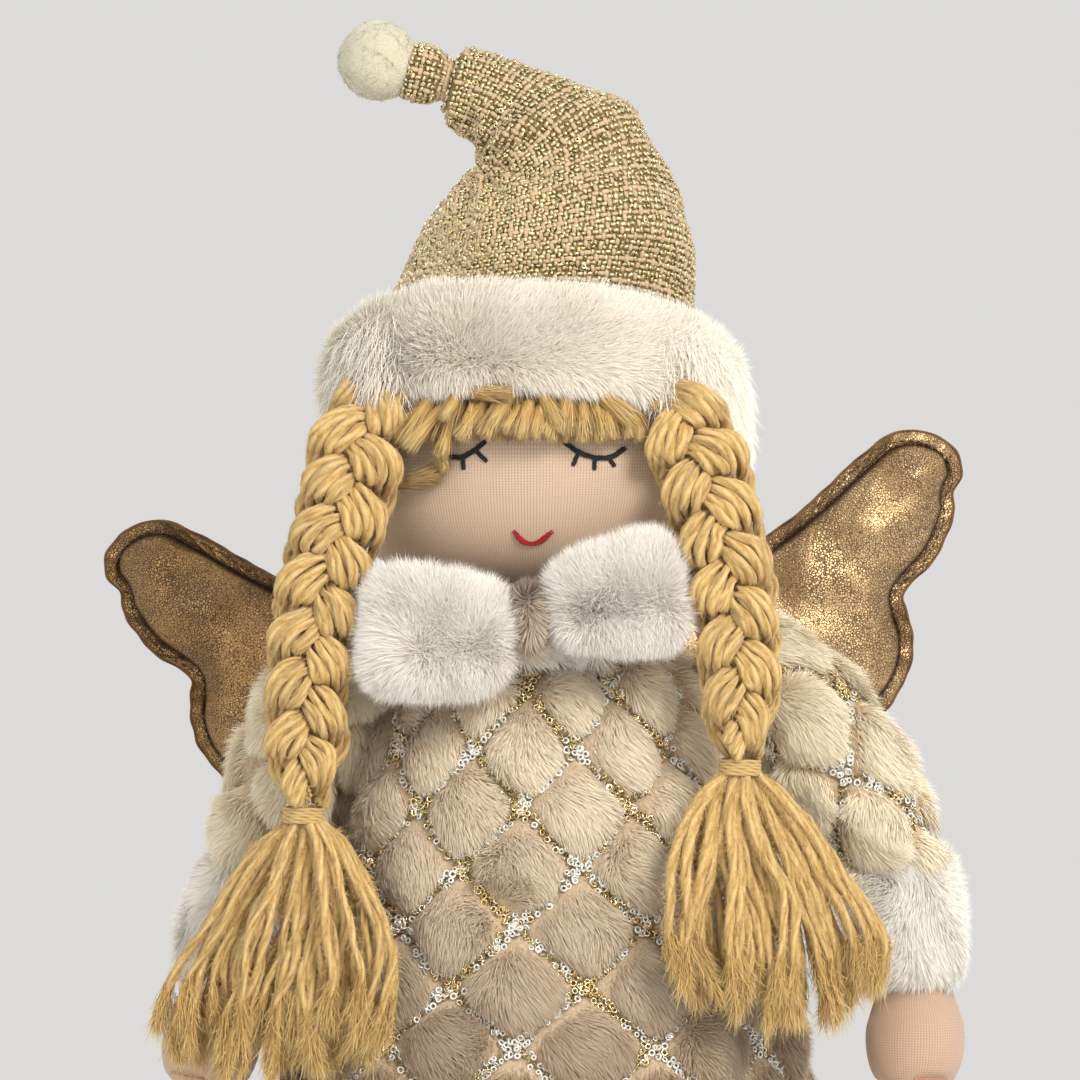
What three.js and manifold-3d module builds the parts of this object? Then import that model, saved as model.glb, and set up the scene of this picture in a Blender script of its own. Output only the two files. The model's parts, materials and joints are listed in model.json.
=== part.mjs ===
// Christmas angel figurine: a stuffed doll in a quilted plush dress that stands on a flat weighted base.
// It wears a tall woven hat with a plush brim and a pompom, two plaited yarn braids, a plush collar,
// soft arms with plush cuffs and jersey hands, and a pair of padded leather wings on its back.
// Millimetres, +Z up. The figure looks along -Y, and left and right are its own: left is +X.
import * as THREE from 'three';
import { mergeVertices } from 'three/addons/utils/BufferGeometryUtils.js';
import Module from 'manifold-3d';

const wasm = await Module();
wasm.setup();

// Driving dimensions. Lengths are in millimetres and turns in degrees.
const seatGap = 0.3; // clearance left where two pieces touch
const swingGap = 0.7; // clearance left where a braid swings out from under the brim

const torso = {
  halfWidth: 89.5,
  halfDepth: 71,
  height: 214.7, // from the base to the neck
  quiltDepth: 4.5, // how far the stitched lines sink below the puffs
  diamondsAround: 11,
  diamondHeight: 36.6,
  stepsPerDiamond: 4,
  fadeRows: 3, // rows over which the stitching fades out at the hem and the neck
  seamTurn: 9.4, // where the stitched lines cross, from the middle of the front
  seamDrop: 46.6, // and how far below the neck
  // half-width at even steps from the base to the neck
  widthShares: [0.89, 0.985, 1, 0.978, 0.95, 0.91, 0.872, 0.827, 0.777, 0.715, 0.631, 0.503, 0.268],
};

const base = {
  thickness: 3,
  margin: 0.3, // beyond the foot of the dress
  sides: 36,
};

const weight = {
  radius: 42,
  height: 30,
  edgeRound: 8,
  sides: 16,
};

const head = {
  shift: -4.5, // the stuffed neck leans a little to the figure's right
  sink: 1, // how far the head is pressed onto the neck
  halfWidth: 60,
  halfDepth: 47,
  halfHeight: 50,
  fullness: 2.6, // 2 is an egg, and more is squarer
  sides: 24,
  rows: 12,
};

const brim = {
  shift: 0.5, // from the head's middle
  back: 3,
  heightOverHead: 14, // from the head's middle to the brim's
  widthOverHead: 5, // how far it stands out from the head at the sides
  depthOverHead: 13, // and in front and behind
  pile: 11, // thickness of the plush
  height: 33,
  tilt: 19, // raised in front
  roll: 3, // lower on the figure's left
  fullness: 2.6,
  steps: 28,
  sides: 7,
};

const crown = {
  shift: 4.5, // from the head's middle
  back: 4,
  heightOverBrim: 7,
  widthUnderBrim: 19, // the cone is this much narrower than the brim on each side
  height: 104,
  forward: 4, // how far the tied end comes forward
  depthShare: 0.9,
  sides: 22,
  rows: 10,
  // up the brim and in from its outside, in shares of its height and pile
  footShares: [[0.1, 0.6], [0.35, 0.9], [0.6, 1.3]],
  coneStartShare: 0.231, // where the cone leaves the foot
  // the two edges of the bent cone from the brim to the tied end: across and up
  innerEdgeShares: [
    [-1, 0], [-0.95, 0.22], [-0.86, 0.39], [-0.76, 0.47], [-0.64, 0.545], [-0.5, 0.606],
    [-0.452, 0.65], [-0.478, 0.692], [-0.543, 0.726], [-0.61, 0.75], [-0.66, 0.77],
  ],
  outerEdgeShares: [
    [0.93, 0], [0.91, 0.217], [0.99, 0.365], [0.963, 0.456], [0.911, 0.545], [0.804, 0.635],
    [0.709, 0.721], [0.54, 0.827], [0.1, 0.885], [-0.3, 0.96], [-0.52, 0.985],
  ],
};

const hatTip = {
  neckRadius: 5.2,
  bulbRadius: 8.6,
  height: 17,
  neckShare: 0.22,
  sides: 16,
  // radius of the gathered bulb at even steps from its neck to its end
  swellShares: [0.605, 0.73, 0.92, 1, 0.97, 0.84, 0.605],
};

const hatTie = {
  thickness: 2.2,
  cornerShare: 0.25,
};

const pompom = {
  radius: 12.8,
  sink: 3.5, // how far the gathered tip reaches into the pile
  splits: 3, // how often each face of the ball is halved
};

const fringe = {
  thickness: 8,
  tuck: 11, // from the brim's lower edge at the front up to the roots
  drop: 23, // and down to the tips
  lockDepth: 5, // notches between the locks
  locks: 9,
  fromTurn: -37,
  toTurn: 28,
  steps: 27,
  levelShares: [0, 0.5, 0.9],
  notchThinShare: 0.25, // the yarn is thinner between two locks
  tipThinShare: 0.33, // and towards the tips
};

const collar = {
  neckDrop: 8, // from the neck's top down to the middle of the band
  bandThickness: 10,
  bandHeight: 20,
  bandHalfWidth: 42,
  bandHalfDepth: 41,
  bandForward: 3,
  bandFullness: 2.6,
  bandTilt: 6,
  bandSides: 7,
  bandSteps: 20,
  knotHalfWidth: 5.2,
  knotHalfDepth: 9,
  knotHalfHeight: 11,
  knotForward: 5, // beyond the front of the head
  knotLift: 2, // above the middle of the band
  knotFullness: 2.4,
  knotSides: 16,
  knotRows: 8,
  lobeHalfDepth: 12,
  lobeForward: 4,
  lobeFullness: 2.9,
  lobeSides: 18,
  lobeRows: 9,
  foldDepth: 3, // crease pressed into each lobe
  foldWidthShare: 0.22,
};

// each lobe: its half-width and half-height, its lift above the band, its turn and the height of its crease
const lobes = {
  right: { halfWidth: 23, halfHeight: 21, lift: -3, turn: 8, creaseShare: 0.1 },
  left: { halfWidth: 21, halfHeight: 20, lift: 8.5, turn: 12, creaseShare: -0.55 },
};

const arm = {
  shoulderShare: 0.56, // of the dress's half-width, where the sleeve's seam begins, and the hinge
  shoulderDrop: 4, // below the neck
  overhang: { right: 20.6, left: 34.6 }, // how far its reach passes the widest part of the dress
  drop: 152,
  forward: 8,
  pathShares: { // centreline of the hanging arm from the shoulder seam, in shares of its reach, drop and forward
    right: [[0, 0.07], [0.28, 0.19], [0.48, 0.36], [0.64, 0.53], [0.78, 0.69], [0.88, 0.84], [0.96, 1]],
    left: [[0, 0.07], [0.36, 0.19], [0.62, 0.36], [0.78, 0.53], [0.86, 0.69], [0.89, 0.84], [0.88, 1]],
  },
  depthShare: 0.92,
  sleeveHalfWidth: 22,
  sleeveEndShare: 0.5, // of the centreline
  sleeveWidthShares: [0.78, 0.98, 1, 0.96, 0.86],
  wristHalfWidth: 12,
  cuffHalfWidth: 19.5,
  cuffBendGap: { right: 0.3, left: 2 }, // left open at the sleeve, where the arm bends
  cuffCornerShare: 0.33,
  cuffEndShare: 0.75,
  handHalfWidth: 15,
  handEndShare: 0.97,
  handRound: 3.75, // beyond the last ring
  handWidthShares: [0.8, 0.82, 0.92, 1.02, 1.02, 0.9, 0.62],
  sides: 14,
  rows: 7,
};

const braid = {
  strandRadius: 3.15, // where a strand is squeezed between the other two
  sway: 8.6, // side to side
  weave: 7.5, // front to back
  weaveTightness: 2,
  slantSwellShare: 0.5, // the strand is wider where it slants across the front
  edgeSwellShare: 0.35, // and where it turns round the edge
  depthShare: 0.86,
  topScaleShare: 1.08,
  endScaleShare: 0.84,
  strandSides: 8,
  stepsPerTurn: 12,
};

// centreline of each braid from under the brim to its tie: out from the head's middle and forward,
// in shares of the head's half-width and half-depth, and down, as a share of the drop
const braids = {
  right: {
    turns: 2.7,
    rootHeight: 64, // above the neck
    hingeForward: 9, // beyond the front of the head
    drop: 126,
    pathShares: [
      [0.883, 0.809, 0], [0.933, 0.915, 0.222], [1.033, 0.957, 0.405], [1.105, 0.979, 0.548],
      [1.142, 0.979, 0.69], [1.158, 0.979, 0.833], [1.165, 1, 1],
    ],
    tasselSpread: 38,
    tasselShift: -9,
  },
  left: {
    turns: 2.3,
    rootHeight: 65,
    hingeForward: 10,
    drop: 112,
    pathShares: [
      [0.742, 0.894, 0], [0.865, 0.936, 0.196], [0.942, 0.979, 0.348], [1.017, 1.021, 0.491],
      [1.053, 1.064, 0.643], [1.075, 1.085, 0.795], [1.075, 1.106, 1],
    ],
    tasselSpread: 36,
    tasselShift: 12,
  },
};

const tie = {
  height: 4,
  thickness: 1.8,
  cornerShare: 0.25,
  sides: 14,
};

const tassel = {
  neckHalfWidth: 6.4,
  neckDrop: 3.9, // from the end of the braid's centreline to the tie
  height: 76,
  halfDepth: 9.5,
  turn: 16, // follows the round of the skirt
  swing: 9, // the lower end lies this much further forward
  flutes: 7,
  fluteShare: 0.07,
  fluteFromRow: 2,
  deepenShare: 0.33, // of the height, where it has its full depth
  sides: 28,
  rows: 9,
  spreadShares: [0, 0.24, 0.42, 0.56, 0.68, 0.79, 0.89, 0.97, 1, 0.92],
};

const wing = {
  width: 147,
  height: 76,
  leather: 0.8,
  domeHeight: 11,
  domePower: 0.6,
  rootDrop: 28, // from the neck down to where it is sewn on
  behind: 4.9, // from the back of the dress to the seam's plane
  stitchShare: 0.93, // where the seam runs, from the middle to the edge
  ripple: 0.9, // waves of the raw edge
  ripples: 12,
  sides: 36,
  middleShares: [0.48, -0.26],
  domeRingShares: [0.3, 0.6, 0.82, 0.93],
  // the outline from the root's top, round the tip and the lower lobe, back to the root
  outlineShares: [
    [0.014, 0.224], [0.203, 0.145], [0.419, 0.079], [0.642, 0.112], [0.797, 0.171], [0.885, 0.191],
    [0.953, 0.132], [0.993, 0.013], [0.98, -0.105], [0.943, -0.164], [0.919, -0.237], [0.838, -0.349],
    [0.743, -0.408], [0.72, -0.474], [0.703, -0.592], [0.655, -0.711], [0.574, -0.789],
    [0.459, -0.803], [0.324, -0.684], [0.189, -0.474], [0.081, -0.329], [0.014, -0.289],
  ],
};

// where each wing is sewn on across the back, its tilt in the back view and how far it leans back
const wings = {
  right: { rootShift: -4, tilt: 17, lean: 12 },
  left: { rootShift: 7, tilt: 31, lean: 7 },
};

const sideSign = { right: -1, left: 1 };

// Heights and middles that the pieces share

const bodyBottom = base.thickness + seatGap;
const neckTop = bodyBottom + torso.height;
const headCentre = [head.shift, 0, neckTop + head.halfHeight - head.sink];
const brimCentre = [headCentre[0] + brim.shift, brim.back, headCentre[2] + brim.heightOverHead];
const brimHalfWidth = head.halfWidth + brim.widthOverHead;
const brimHalfDepth = head.halfDepth + brim.depthOverHead;
const crownHalfWidth = brimHalfWidth - crown.widthUnderBrim;
const crownCentre = [headCentre[0] + crown.shift, crown.back, brimCentre[2] + crown.heightOverBrim];
const bandMiddle = neckTop - collar.neckDrop;
const knotCentre = [headCentre[0], -(head.halfDepth + collar.knotForward), bandMiddle + collar.knotLift];

// Small helpers

function radians(degrees) {
  return THREE.MathUtils.degToRad(degrees);
}

// Reads evenly spaced shares at t, from 0 to 1, along a smooth curve
function shareAt(shares, t) {
  const curve = new THREE.SplineCurve(shares.map((share, i) => new THREE.Vector2(i, share)));
  return curve.getPoint(t).y;
}

// Point of a unit superellipse: fullness 2 is a circle, and more is squarer
function roundedPoint(angle, fullness) {
  const power = 2 / fullness;
  const c = Math.cos(angle);
  const s = Math.sin(angle);
  return [Math.sign(c) * Math.abs(c) ** power, Math.sign(s) * Math.abs(s) ** power];
}

// Indexed geometry whose faces are turned outwards
function closedGeometry(points, faces) {
  let volume = 0;
  for (let i = 0; i < faces.length; i += 3) {
    const [a, b, c] = [points[faces[i]], points[faces[i + 1]], points[faces[i + 2]]];
    volume += a.dot(b.clone().cross(c));
  }
  const turned = volume < 0 ? faces.slice().reverse() : faces;
  const geometry = new THREE.BufferGeometry().setFromPoints(points);
  geometry.setIndex(turned);
  geometry.computeVertexNormals();
  return geometry;
}

// The two faces of one cell between two rings; flip picks the other diagonal
function cellFaces(a, b, c, d, flip) {
  return flip ? [a, b, c, b, d, c] : [a, b, d, a, d, c];
}

// Closed body through rings of equal count, with a point or the ring's middle closing each end
function skin(rings, { start, end, flip = () => false } = {}) {
  const count = rings[0].length;
  const points = rings.flat();
  const faces = [];
  for (let r = 0; r + 1 < rings.length; r += 1) {
    for (let i = 0; i < count; i += 1) {
      const a = r * count + i;
      const b = r * count + ((i + 1) % count);
      faces.push(...cellFaces(a, b, a + count, b + count, flip(i, r)));
    }
  }
  const ends = [[0, start, false], [(rings.length - 1) * count, end, true]];
  for (const [first, apex, last] of ends) {
    const middle = new THREE.Vector3();
    for (let i = 0; i < count; i += 1) {
      middle.addScaledVector(points[first + i], 1 / count);
    }
    const tip = points.length;
    points.push(apex ?? middle);
    for (let i = 0; i < count; i += 1) {
      const a = first + i;
      const b = first + ((i + 1) % count);
      faces.push(...(last ? [tip, a, b] : [tip, b, a]));
    }
  }
  return closedGeometry(points, faces);
}

// Closed loop through rings, such as a band round the head
function skinLoop(rings) {
  const count = rings[0].length;
  const faces = [];
  for (let r = 0; r < rings.length; r += 1) {
    const next = (r + 1) % rings.length;
    for (let i = 0; i < count; i += 1) {
      const j = (i + 1) % count;
      faces.push(...cellFaces(r * count + i, r * count + j, next * count + i, next * count + j, false));
    }
  }
  return closedGeometry(rings.flat(), faces);
}

function toSolid(geometry) {
  const bare = geometry.clone();
  bare.deleteAttribute('normal');
  bare.deleteAttribute('uv');
  const merged = mergeVertices(bare);
  return new wasm.Manifold(new wasm.Mesh({
    numProp: 3,
    vertProperties: new Float32Array(merged.attributes.position.array),
    triVerts: new Uint32Array(merged.index.array),
  }));
}

// Cuts the tools out of a piece and keeps its main body, without the crumbs at thin edges
function cut(geometry, ...tools) {
  let solid = toSolid(geometry);
  for (const tool of tools) {
    solid = solid.subtract(toSolid(tool));
  }
  const main = solid.decompose().sort((p, q) => q.volume() - p.volume())[0];
  const mesh = main.getMesh();
  const result = new THREE.BufferGeometry();
  result.setAttribute('position', new THREE.BufferAttribute(mesh.vertProperties, mesh.numProp));
  result.setIndex(new THREE.BufferAttribute(mesh.triVerts, 1));
  result.computeVertexNormals();
  return result;
}

// Mirrors a piece for the figure's right side and keeps its faces turned outwards
function mirrored(geometry, side) {
  geometry.scale(sideSign[side], 1, 1);
  if (sideSign[side] < 0) {
    geometry.index.array.reverse();
  }
  return geometry;
}

function mesh(name, geometry, material) {
  const piece = new THREE.Mesh(geometry, material);
  piece.name = name;
  return piece;
}

function material(color, roughness, metalness = 0) {
  return new THREE.MeshStandardMaterial({ color, roughness, metalness });
}

// Superellipsoid with its poles up and down
function stuffedBall({ centre, half, fullness, sides, rows, extra = 0 }) {
  const rings = [];
  for (let r = 1; r < rows; r += 1) {
    const [across, up] = roundedPoint(Math.PI * (r / rows - 1 / 2), fullness);
    const ring = [];
    for (let i = 0; i < sides; i += 1) {
      const angle = (2 * Math.PI * i) / sides;
      ring.push(new THREE.Vector3(
        centre[0] + (half[0] + extra) * across * Math.cos(angle),
        centre[1] + (half[1] + extra) * across * Math.sin(angle),
        centre[2] + (half[2] + extra) * up,
      ));
    }
    rings.push(ring);
  }
  const pole = (sign) => new THREE.Vector3(centre[0], centre[1], centre[2] + sign * (half[2] + extra));
  return skin(rings, { start: pole(-1), end: pole(1) });
}

// Base: a stiff oval disc sewn under the dress, and a bag of pellets in its pocket

function ovalRing(halfWidth, halfDepth, z, sides) {
  const ring = [];
  for (let i = 0; i < sides; i += 1) {
    const angle = (2 * Math.PI * i) / sides;
    ring.push(new THREE.Vector3(halfWidth * Math.cos(angle), halfDepth * Math.sin(angle), z));
  }
  return ring;
}

function baseDisc() {
  const foot = torso.widthShares[0];
  const halfWidth = torso.halfWidth * foot + base.margin;
  const halfDepth = torso.halfDepth * foot + base.margin;
  const ringAt = (z) => ovalRing(halfWidth, halfDepth, z, base.sides);
  return skin([ringAt(0), ringAt(base.thickness)]);
}

function weightBag() {
  const { radius, height, edgeRound, sides } = weight;
  const bottom = bodyBottom;
  const top = bottom + height;
  const profile = [
    [0, bottom], [radius - edgeRound / 2, bottom], [radius, bottom + edgeRound / 2], [radius, top - edgeRound],
    [radius - edgeRound / 3, top - edgeRound / 3], [radius - edgeRound, top], [0, top],
  ];
  const points = profile.map(([x, y]) => new THREE.Vector2(x, y));
  return new THREE.LatheGeometry(points, sides).rotateX(Math.PI / 2);
}

// The pocket that the bag sits in, open at the bottom of the stuffing
function bagPocket() {
  const side = weight.radius + seatGap;
  const bottom = bodyBottom - seatGap;
  const top = bodyBottom + weight.height + seatGap;
  const profile = [[0, bottom], [side, bottom], [side, top], [0, top]];
  const points = profile.map(([x, y]) => new THREE.Vector2(x, y));
  return new THREE.LatheGeometry(points, weight.sides).rotateX(Math.PI / 2);
}

// Torso: a stuffed cone whose plush is quilted in diamonds

const quiltSides = torso.diamondsAround * torso.stepsPerDiamond;
const quiltRows = Math.round((torso.stepsPerDiamond * torso.height) / torso.diamondHeight);
const crossingRow = quiltRows - Math.round((quiltRows * torso.seamDrop) / torso.height);

function torsoShell(extra) {
  const rings = [];
  for (let r = 0; r <= quiltRows; r += 1) {
    const t = r / quiltRows;
    const width = shareAt(torso.widthShares, t);
    const fade = Math.min(1, Math.min(r, quiltRows - r) / torso.fadeRows);
    const overrun = { 0: -extra, [quiltRows]: extra }[r] ?? 0;
    const ring = [];
    for (let i = 0; i < quiltSides; i += 1) {
      const lineA = Math.sin((Math.PI * (i + r - crossingRow)) / torso.stepsPerDiamond);
      const lineB = Math.sin((Math.PI * (i - r + crossingRow)) / torso.stepsPerDiamond);
      const sunk = torso.quiltDepth * fade * (1 - Math.sqrt(Math.abs(lineA * lineB)));
      const angle = (2 * Math.PI * i) / quiltSides + radians(torso.seamTurn - 90);
      ring.push(new THREE.Vector3(
        (torso.halfWidth * width - sunk + extra) * Math.cos(angle),
        (torso.halfDepth * width - sunk + extra) * Math.sin(angle),
        bodyBottom + torso.height * t + overrun,
      ));
    }
    rings.push(ring);
  }
  const { stepsPerDiamond } = torso;
  const onLine = (i, r) => (i + r + 1 - crossingRow + stepsPerDiamond * quiltRows) % stepsPerDiamond === 0;
  return skin(rings, { flip: onLine });
}

const torsoSeat = torsoShell(seatGap);

function dressBody() {
  return cut(torsoShell(0), bagPocket());
}

// Head, pressed a little onto the neck

function headBall(extra) {
  return stuffedBall({
    centre: headCentre,
    half: [head.halfWidth, head.halfDepth, head.halfHeight],
    fullness: head.fullness,
    sides: head.sides,
    rows: head.rows,
    extra,
  });
}

const headSeat = headBall(seatGap);

// Brim: a plush band round the head, raised in front

function bandPlace(tilt, roll) {
  return new THREE.Matrix4().makeRotationFromEuler(new THREE.Euler(radians(-tilt), radians(roll), 0));
}

function band({ centre, halfWidth, halfDepth, thickness, height, fullness, tilt, roll, steps, sides, extra }) {
  const place = bandPlace(tilt, roll);
  const rings = [];
  for (let s = 0; s < steps; s += 1) {
    const angle = (2 * Math.PI * s) / steps;
    const out = new THREE.Vector3(Math.cos(angle), Math.sin(angle), 0);
    const middle = new THREE.Vector3(
      (halfWidth - thickness / 2) * Math.cos(angle),
      (halfDepth - thickness / 2) * Math.sin(angle),
      0,
    );
    const ring = [];
    for (let i = 0; i < sides; i += 1) {
      const [across, up] = roundedPoint((2 * Math.PI * (i + 1 / 2)) / sides, fullness);
      const point = middle.clone()
        .addScaledVector(out, across * (thickness / 2 + extra))
        .setZ(up * (height / 2 + extra));
      ring.push(point.applyMatrix4(place).add(new THREE.Vector3(...centre)));
    }
    rings.push(ring);
  }
  return skinLoop(rings);
}

function brimBand(extra) {
  return band({
    centre: brimCentre,
    halfWidth: brimHalfWidth,
    halfDepth: brimHalfDepth,
    thickness: brim.pile,
    height: brim.height,
    fullness: brim.fullness,
    tilt: brim.tilt,
    roll: brim.roll,
    steps: brim.steps,
    sides: brim.sides,
    extra,
  });
}

const brimSeat = brimBand(seatGap);

// Hat crown: a bent cone between two edges, drawn in to the tied end

function edgePoint(shares, t) {
  const curve = new THREE.SplineCurve(shares.map(([x, z]) => new THREE.Vector2(x, z)));
  const share = curve.getPoint(t);
  return new THREE.Vector3(
    crownCentre[0] + crownHalfWidth * share.x,
    crownCentre[1] - crown.forward * t,
    crownCentre[2] + crown.height * share.y,
  );
}

function crownRing(t) {
  const inner = edgePoint(crown.innerEdgeShares, t);
  const outer = edgePoint(crown.outerEdgeShares, t);
  return {
    middle: inner.clone().add(outer).divideScalar(2),
    half: outer.clone().sub(inner).divideScalar(2),
  };
}

// Rings of the crown's foot, on the brim's tilted plane from its middle to its top
function crownFoot() {
  const place = bandPlace(brim.tilt, brim.roll);
  return crown.footShares.map(([lift, inward]) => {
    const halfWidth = brimHalfWidth - brim.pile * inward;
    const halfDepth = brimHalfDepth - brim.pile * inward;
    return ovalRing(halfWidth, halfDepth, brim.height * lift, crown.sides)
      .map((point) => point.applyMatrix4(place).add(new THREE.Vector3(...brimCentre)));
  });
}

function crownCone() {
  const rings = crownFoot();
  for (let r = 0; r <= crown.rows; r += 1) {
    const { middle, half } = crownRing(THREE.MathUtils.lerp(crown.coneStartShare, 1, r / crown.rows));
    const depth = half.length() * crown.depthShare;
    const ring = [];
    for (let i = 0; i < crown.sides; i += 1) {
      const angle = (2 * Math.PI * i) / crown.sides;
      const point = middle.clone().addScaledVector(half, Math.cos(angle));
      point.y += depth * Math.sin(angle);
      ring.push(point);
    }
    rings.push(ring);
  }
  return skin(rings);
}

// The tied end looks along this direction
const crownEnd = crownRing(1);
const tipDirection = new THREE.Vector3(-crownEnd.half.z, 0, crownEnd.half.x).normalize();

function hatTipBulb() {
  const { neckRadius, bulbRadius, height, neckShare, swellShares, sides } = hatTip;
  const profile = [new THREE.Vector2(0, seatGap), new THREE.Vector2(neckRadius, seatGap)];
  swellShares.forEach((share, i) => {
    const t = i / (swellShares.length - 1);
    profile.push(new THREE.Vector2(bulbRadius * share, height * THREE.MathUtils.lerp(neckShare, 1, t)));
  });
  profile.push(new THREE.Vector2(0, height));
  return new THREE.LatheGeometry(profile, sides);
}

// Section of a ring whose corners are rounded off
function ringProfile(inner, thickness, from, height, round) {
  const outer = inner + thickness;
  const to = from + height;
  const corners = [
    [inner, from + round], [inner + round, from], [outer - round, from], [outer, from + round],
    [outer, to - round], [outer - round, to], [inner + round, to], [inner, to - round],
    [inner, from + round],
  ];
  return corners.map(([x, y]) => new THREE.Vector2(x, y));
}

function hatTieRing() {
  const { thickness, cornerShare } = hatTie;
  const inner = hatTip.neckRadius + seatGap;
  const profile = ringProfile(inner, thickness, seatGap, thickness, thickness * cornerShare);
  return new THREE.LatheGeometry(profile, hatTip.sides);
}

// Fringe: yarn locks in front of the forehead, from under the brim

function headPoint(turn, z, out) {
  const level = Math.min(1, Math.abs((z - headCentre[2]) / head.halfHeight));
  const across = (1 - level ** head.fullness) ** (1 / head.fullness);
  const angle = radians(turn - 90);
  return new THREE.Vector3(
    headCentre[0] + (head.halfWidth * across + out) * Math.cos(angle),
    headCentre[1] + (head.halfDepth * across + out) * Math.sin(angle),
    z,
  );
}

function fringeLocks() {
  const { thickness, levelShares, notchThinShare, tipThinShare } = fringe;
  const lowerEdge = brimCentre[2] + Math.sin(radians(brim.tilt)) * brimHalfDepth
    - Math.cos(radians(brim.tilt)) * (brim.height / 2);
  const top = lowerEdge + fringe.tuck;
  const rings = [];
  for (let s = 0; s <= fringe.steps; s += 1) {
    const t = s / fringe.steps;
    const turn = THREE.MathUtils.lerp(fringe.fromTurn, fringe.toTurn, t);
    const notch = Math.abs(Math.cos(Math.PI * t * fringe.locks));
    const end = lowerEdge - fringe.drop + fringe.lockDepth * notch;
    const ring = levelShares.map((level) => headPoint(turn, THREE.MathUtils.lerp(top, end, level), seatGap));
    ring.push(headPoint(turn, end, seatGap + thickness / 2));
    for (const level of levelShares.slice().reverse()) {
      const bulge = thickness * (1 - notchThinShare * notch) * (1 - tipThinShare * level ** 4);
      ring.push(headPoint(turn, THREE.MathUtils.lerp(top, end, level), seatGap + bulge));
    }
    rings.push(ring);
  }
  return skin(rings);
}

// Collar: a plush band round the neck whose two folded ends meet in a knot

function collarBand() {
  return band({
    centre: [headCentre[0] / 2, -collar.bandForward, bandMiddle],
    halfWidth: collar.bandHalfWidth,
    halfDepth: collar.bandHalfDepth,
    thickness: collar.bandThickness,
    height: collar.bandHeight,
    fullness: collar.bandFullness,
    tilt: -collar.bandTilt,
    roll: 0,
    steps: collar.bandSteps,
    sides: collar.bandSides,
    extra: 0,
  });
}

function collarLobe(side, extra) {
  const { halfWidth, halfHeight, lift, turn, creaseShare } = lobes[side];
  const { lobeSides, lobeRows, lobeHalfDepth, lobeFullness, foldDepth, foldWidthShare } = collar;
  const rings = [];
  for (let r = 1; r < lobeRows; r += 1) {
    const [across, up] = roundedPoint(Math.PI * (r / lobeRows - 1 / 2), lobeFullness);
    const crease = foldDepth * Math.exp(-(((up - creaseShare) / foldWidthShare) ** 2));
    const ring = [];
    for (let i = 0; i < lobeSides; i += 1) {
      const [x, y] = roundedPoint((2 * Math.PI * i) / lobeSides, lobeFullness);
      const front = y < 0 ? crease * Math.abs(y) : 0;
      ring.push(new THREE.Vector3(
        (halfWidth + extra) * across * x,
        (lobeHalfDepth + extra) * across * y + front,
        (halfHeight + extra) * up,
      ));
    }
    rings.push(ring);
  }
  const pole = (sign) => new THREE.Vector3(0, 0, sign * (halfHeight + extra));
  const geometry = skin(rings, { start: pole(-1), end: pole(1) });
  const out = collar.knotHalfWidth + seatGap + halfWidth;
  return geometry.rotateY(radians(turn)).translate(
    knotCentre[0] + sideSign[side] * out,
    -(head.halfDepth + collar.lobeForward),
    bandMiddle + lift,
  );
}

function collarKnot(extra) {
  return stuffedBall({
    centre: knotCentre,
    half: [collar.knotHalfWidth, collar.knotHalfDepth, collar.knotHalfHeight],
    fullness: collar.knotFullness,
    sides: collar.knotSides,
    rows: collar.knotRows,
    extra,
  });
}

// Arms: a sleeve, a plush cuff and a jersey hand along one curved centreline

const shoulderOut = torso.halfWidth * arm.shoulderShare;

function armCurve(side) {
  const reach = torso.halfWidth - shoulderOut + arm.overhang[side];
  return new THREE.CatmullRomCurve3(arm.pathShares[side].map(([out, down]) => new THREE.Vector3(
    reach * out,
    -arm.forward * down,
    -arm.drop * down,
  )));
}

// Rings square to a centreline in the figure's front plane
function limb({ curve, from, to, rows, halfWidth, widthShares, depthShare, sides, roundEnd = 0 }) {
  const rings = [];
  let endPoint;
  for (let r = 0; r <= rows; r += 1) {
    const t = THREE.MathUtils.lerp(from, to, r / rows);
    const middle = curve.getPoint(t);
    const along = curve.getTangent(t);
    const across = new THREE.Vector3(0, 1, 0).cross(along).normalize();
    const front = along.clone().cross(across);
    const width = halfWidth * shareAt(widthShares, r / rows);
    const ring = [];
    for (let i = 0; i < sides; i += 1) {
      const angle = (2 * Math.PI * i) / sides;
      ring.push(middle.clone()
        .addScaledVector(across, width * Math.cos(angle))
        .addScaledVector(front, width * depthShare * Math.sin(angle)));
    }
    rings.push(ring);
    endPoint = middle.clone().addScaledVector(along, roundEnd);
  }
  return skin(rings, { end: endPoint });
}

function sleeve(side) {
  return limb({
    curve: armCurve(side),
    from: 0,
    to: arm.sleeveEndShare,
    rows: arm.rows,
    halfWidth: arm.sleeveHalfWidth,
    widthShares: arm.sleeveWidthShares,
    depthShare: arm.depthShare,
    sides: arm.sides,
  });
}

function cuffRing(side) {
  const curve = armCurve(side);
  const middleAt = (arm.sleeveEndShare + arm.cuffEndShare) / 2;
  const length = curve.getPoint(arm.sleeveEndShare).distanceTo(curve.getPoint(arm.cuffEndShare));
  const inner = arm.wristHalfWidth + seatGap;
  const thickness = arm.cuffHalfWidth - inner;
  const from = arm.cuffBendGap[side] - length / 2;
  const height = length - arm.cuffBendGap[side] - seatGap;
  const profile = ringProfile(inner, thickness, from, height, thickness * arm.cuffCornerShare);
  const geometry = new THREE.LatheGeometry(profile, arm.sides);
  const turn = new THREE.Quaternion().setFromUnitVectors(
    new THREE.Vector3(0, 1, 0),
    curve.getTangent(middleAt),
  );
  return geometry.applyQuaternion(turn).translate(...curve.getPoint(middleAt));
}

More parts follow.
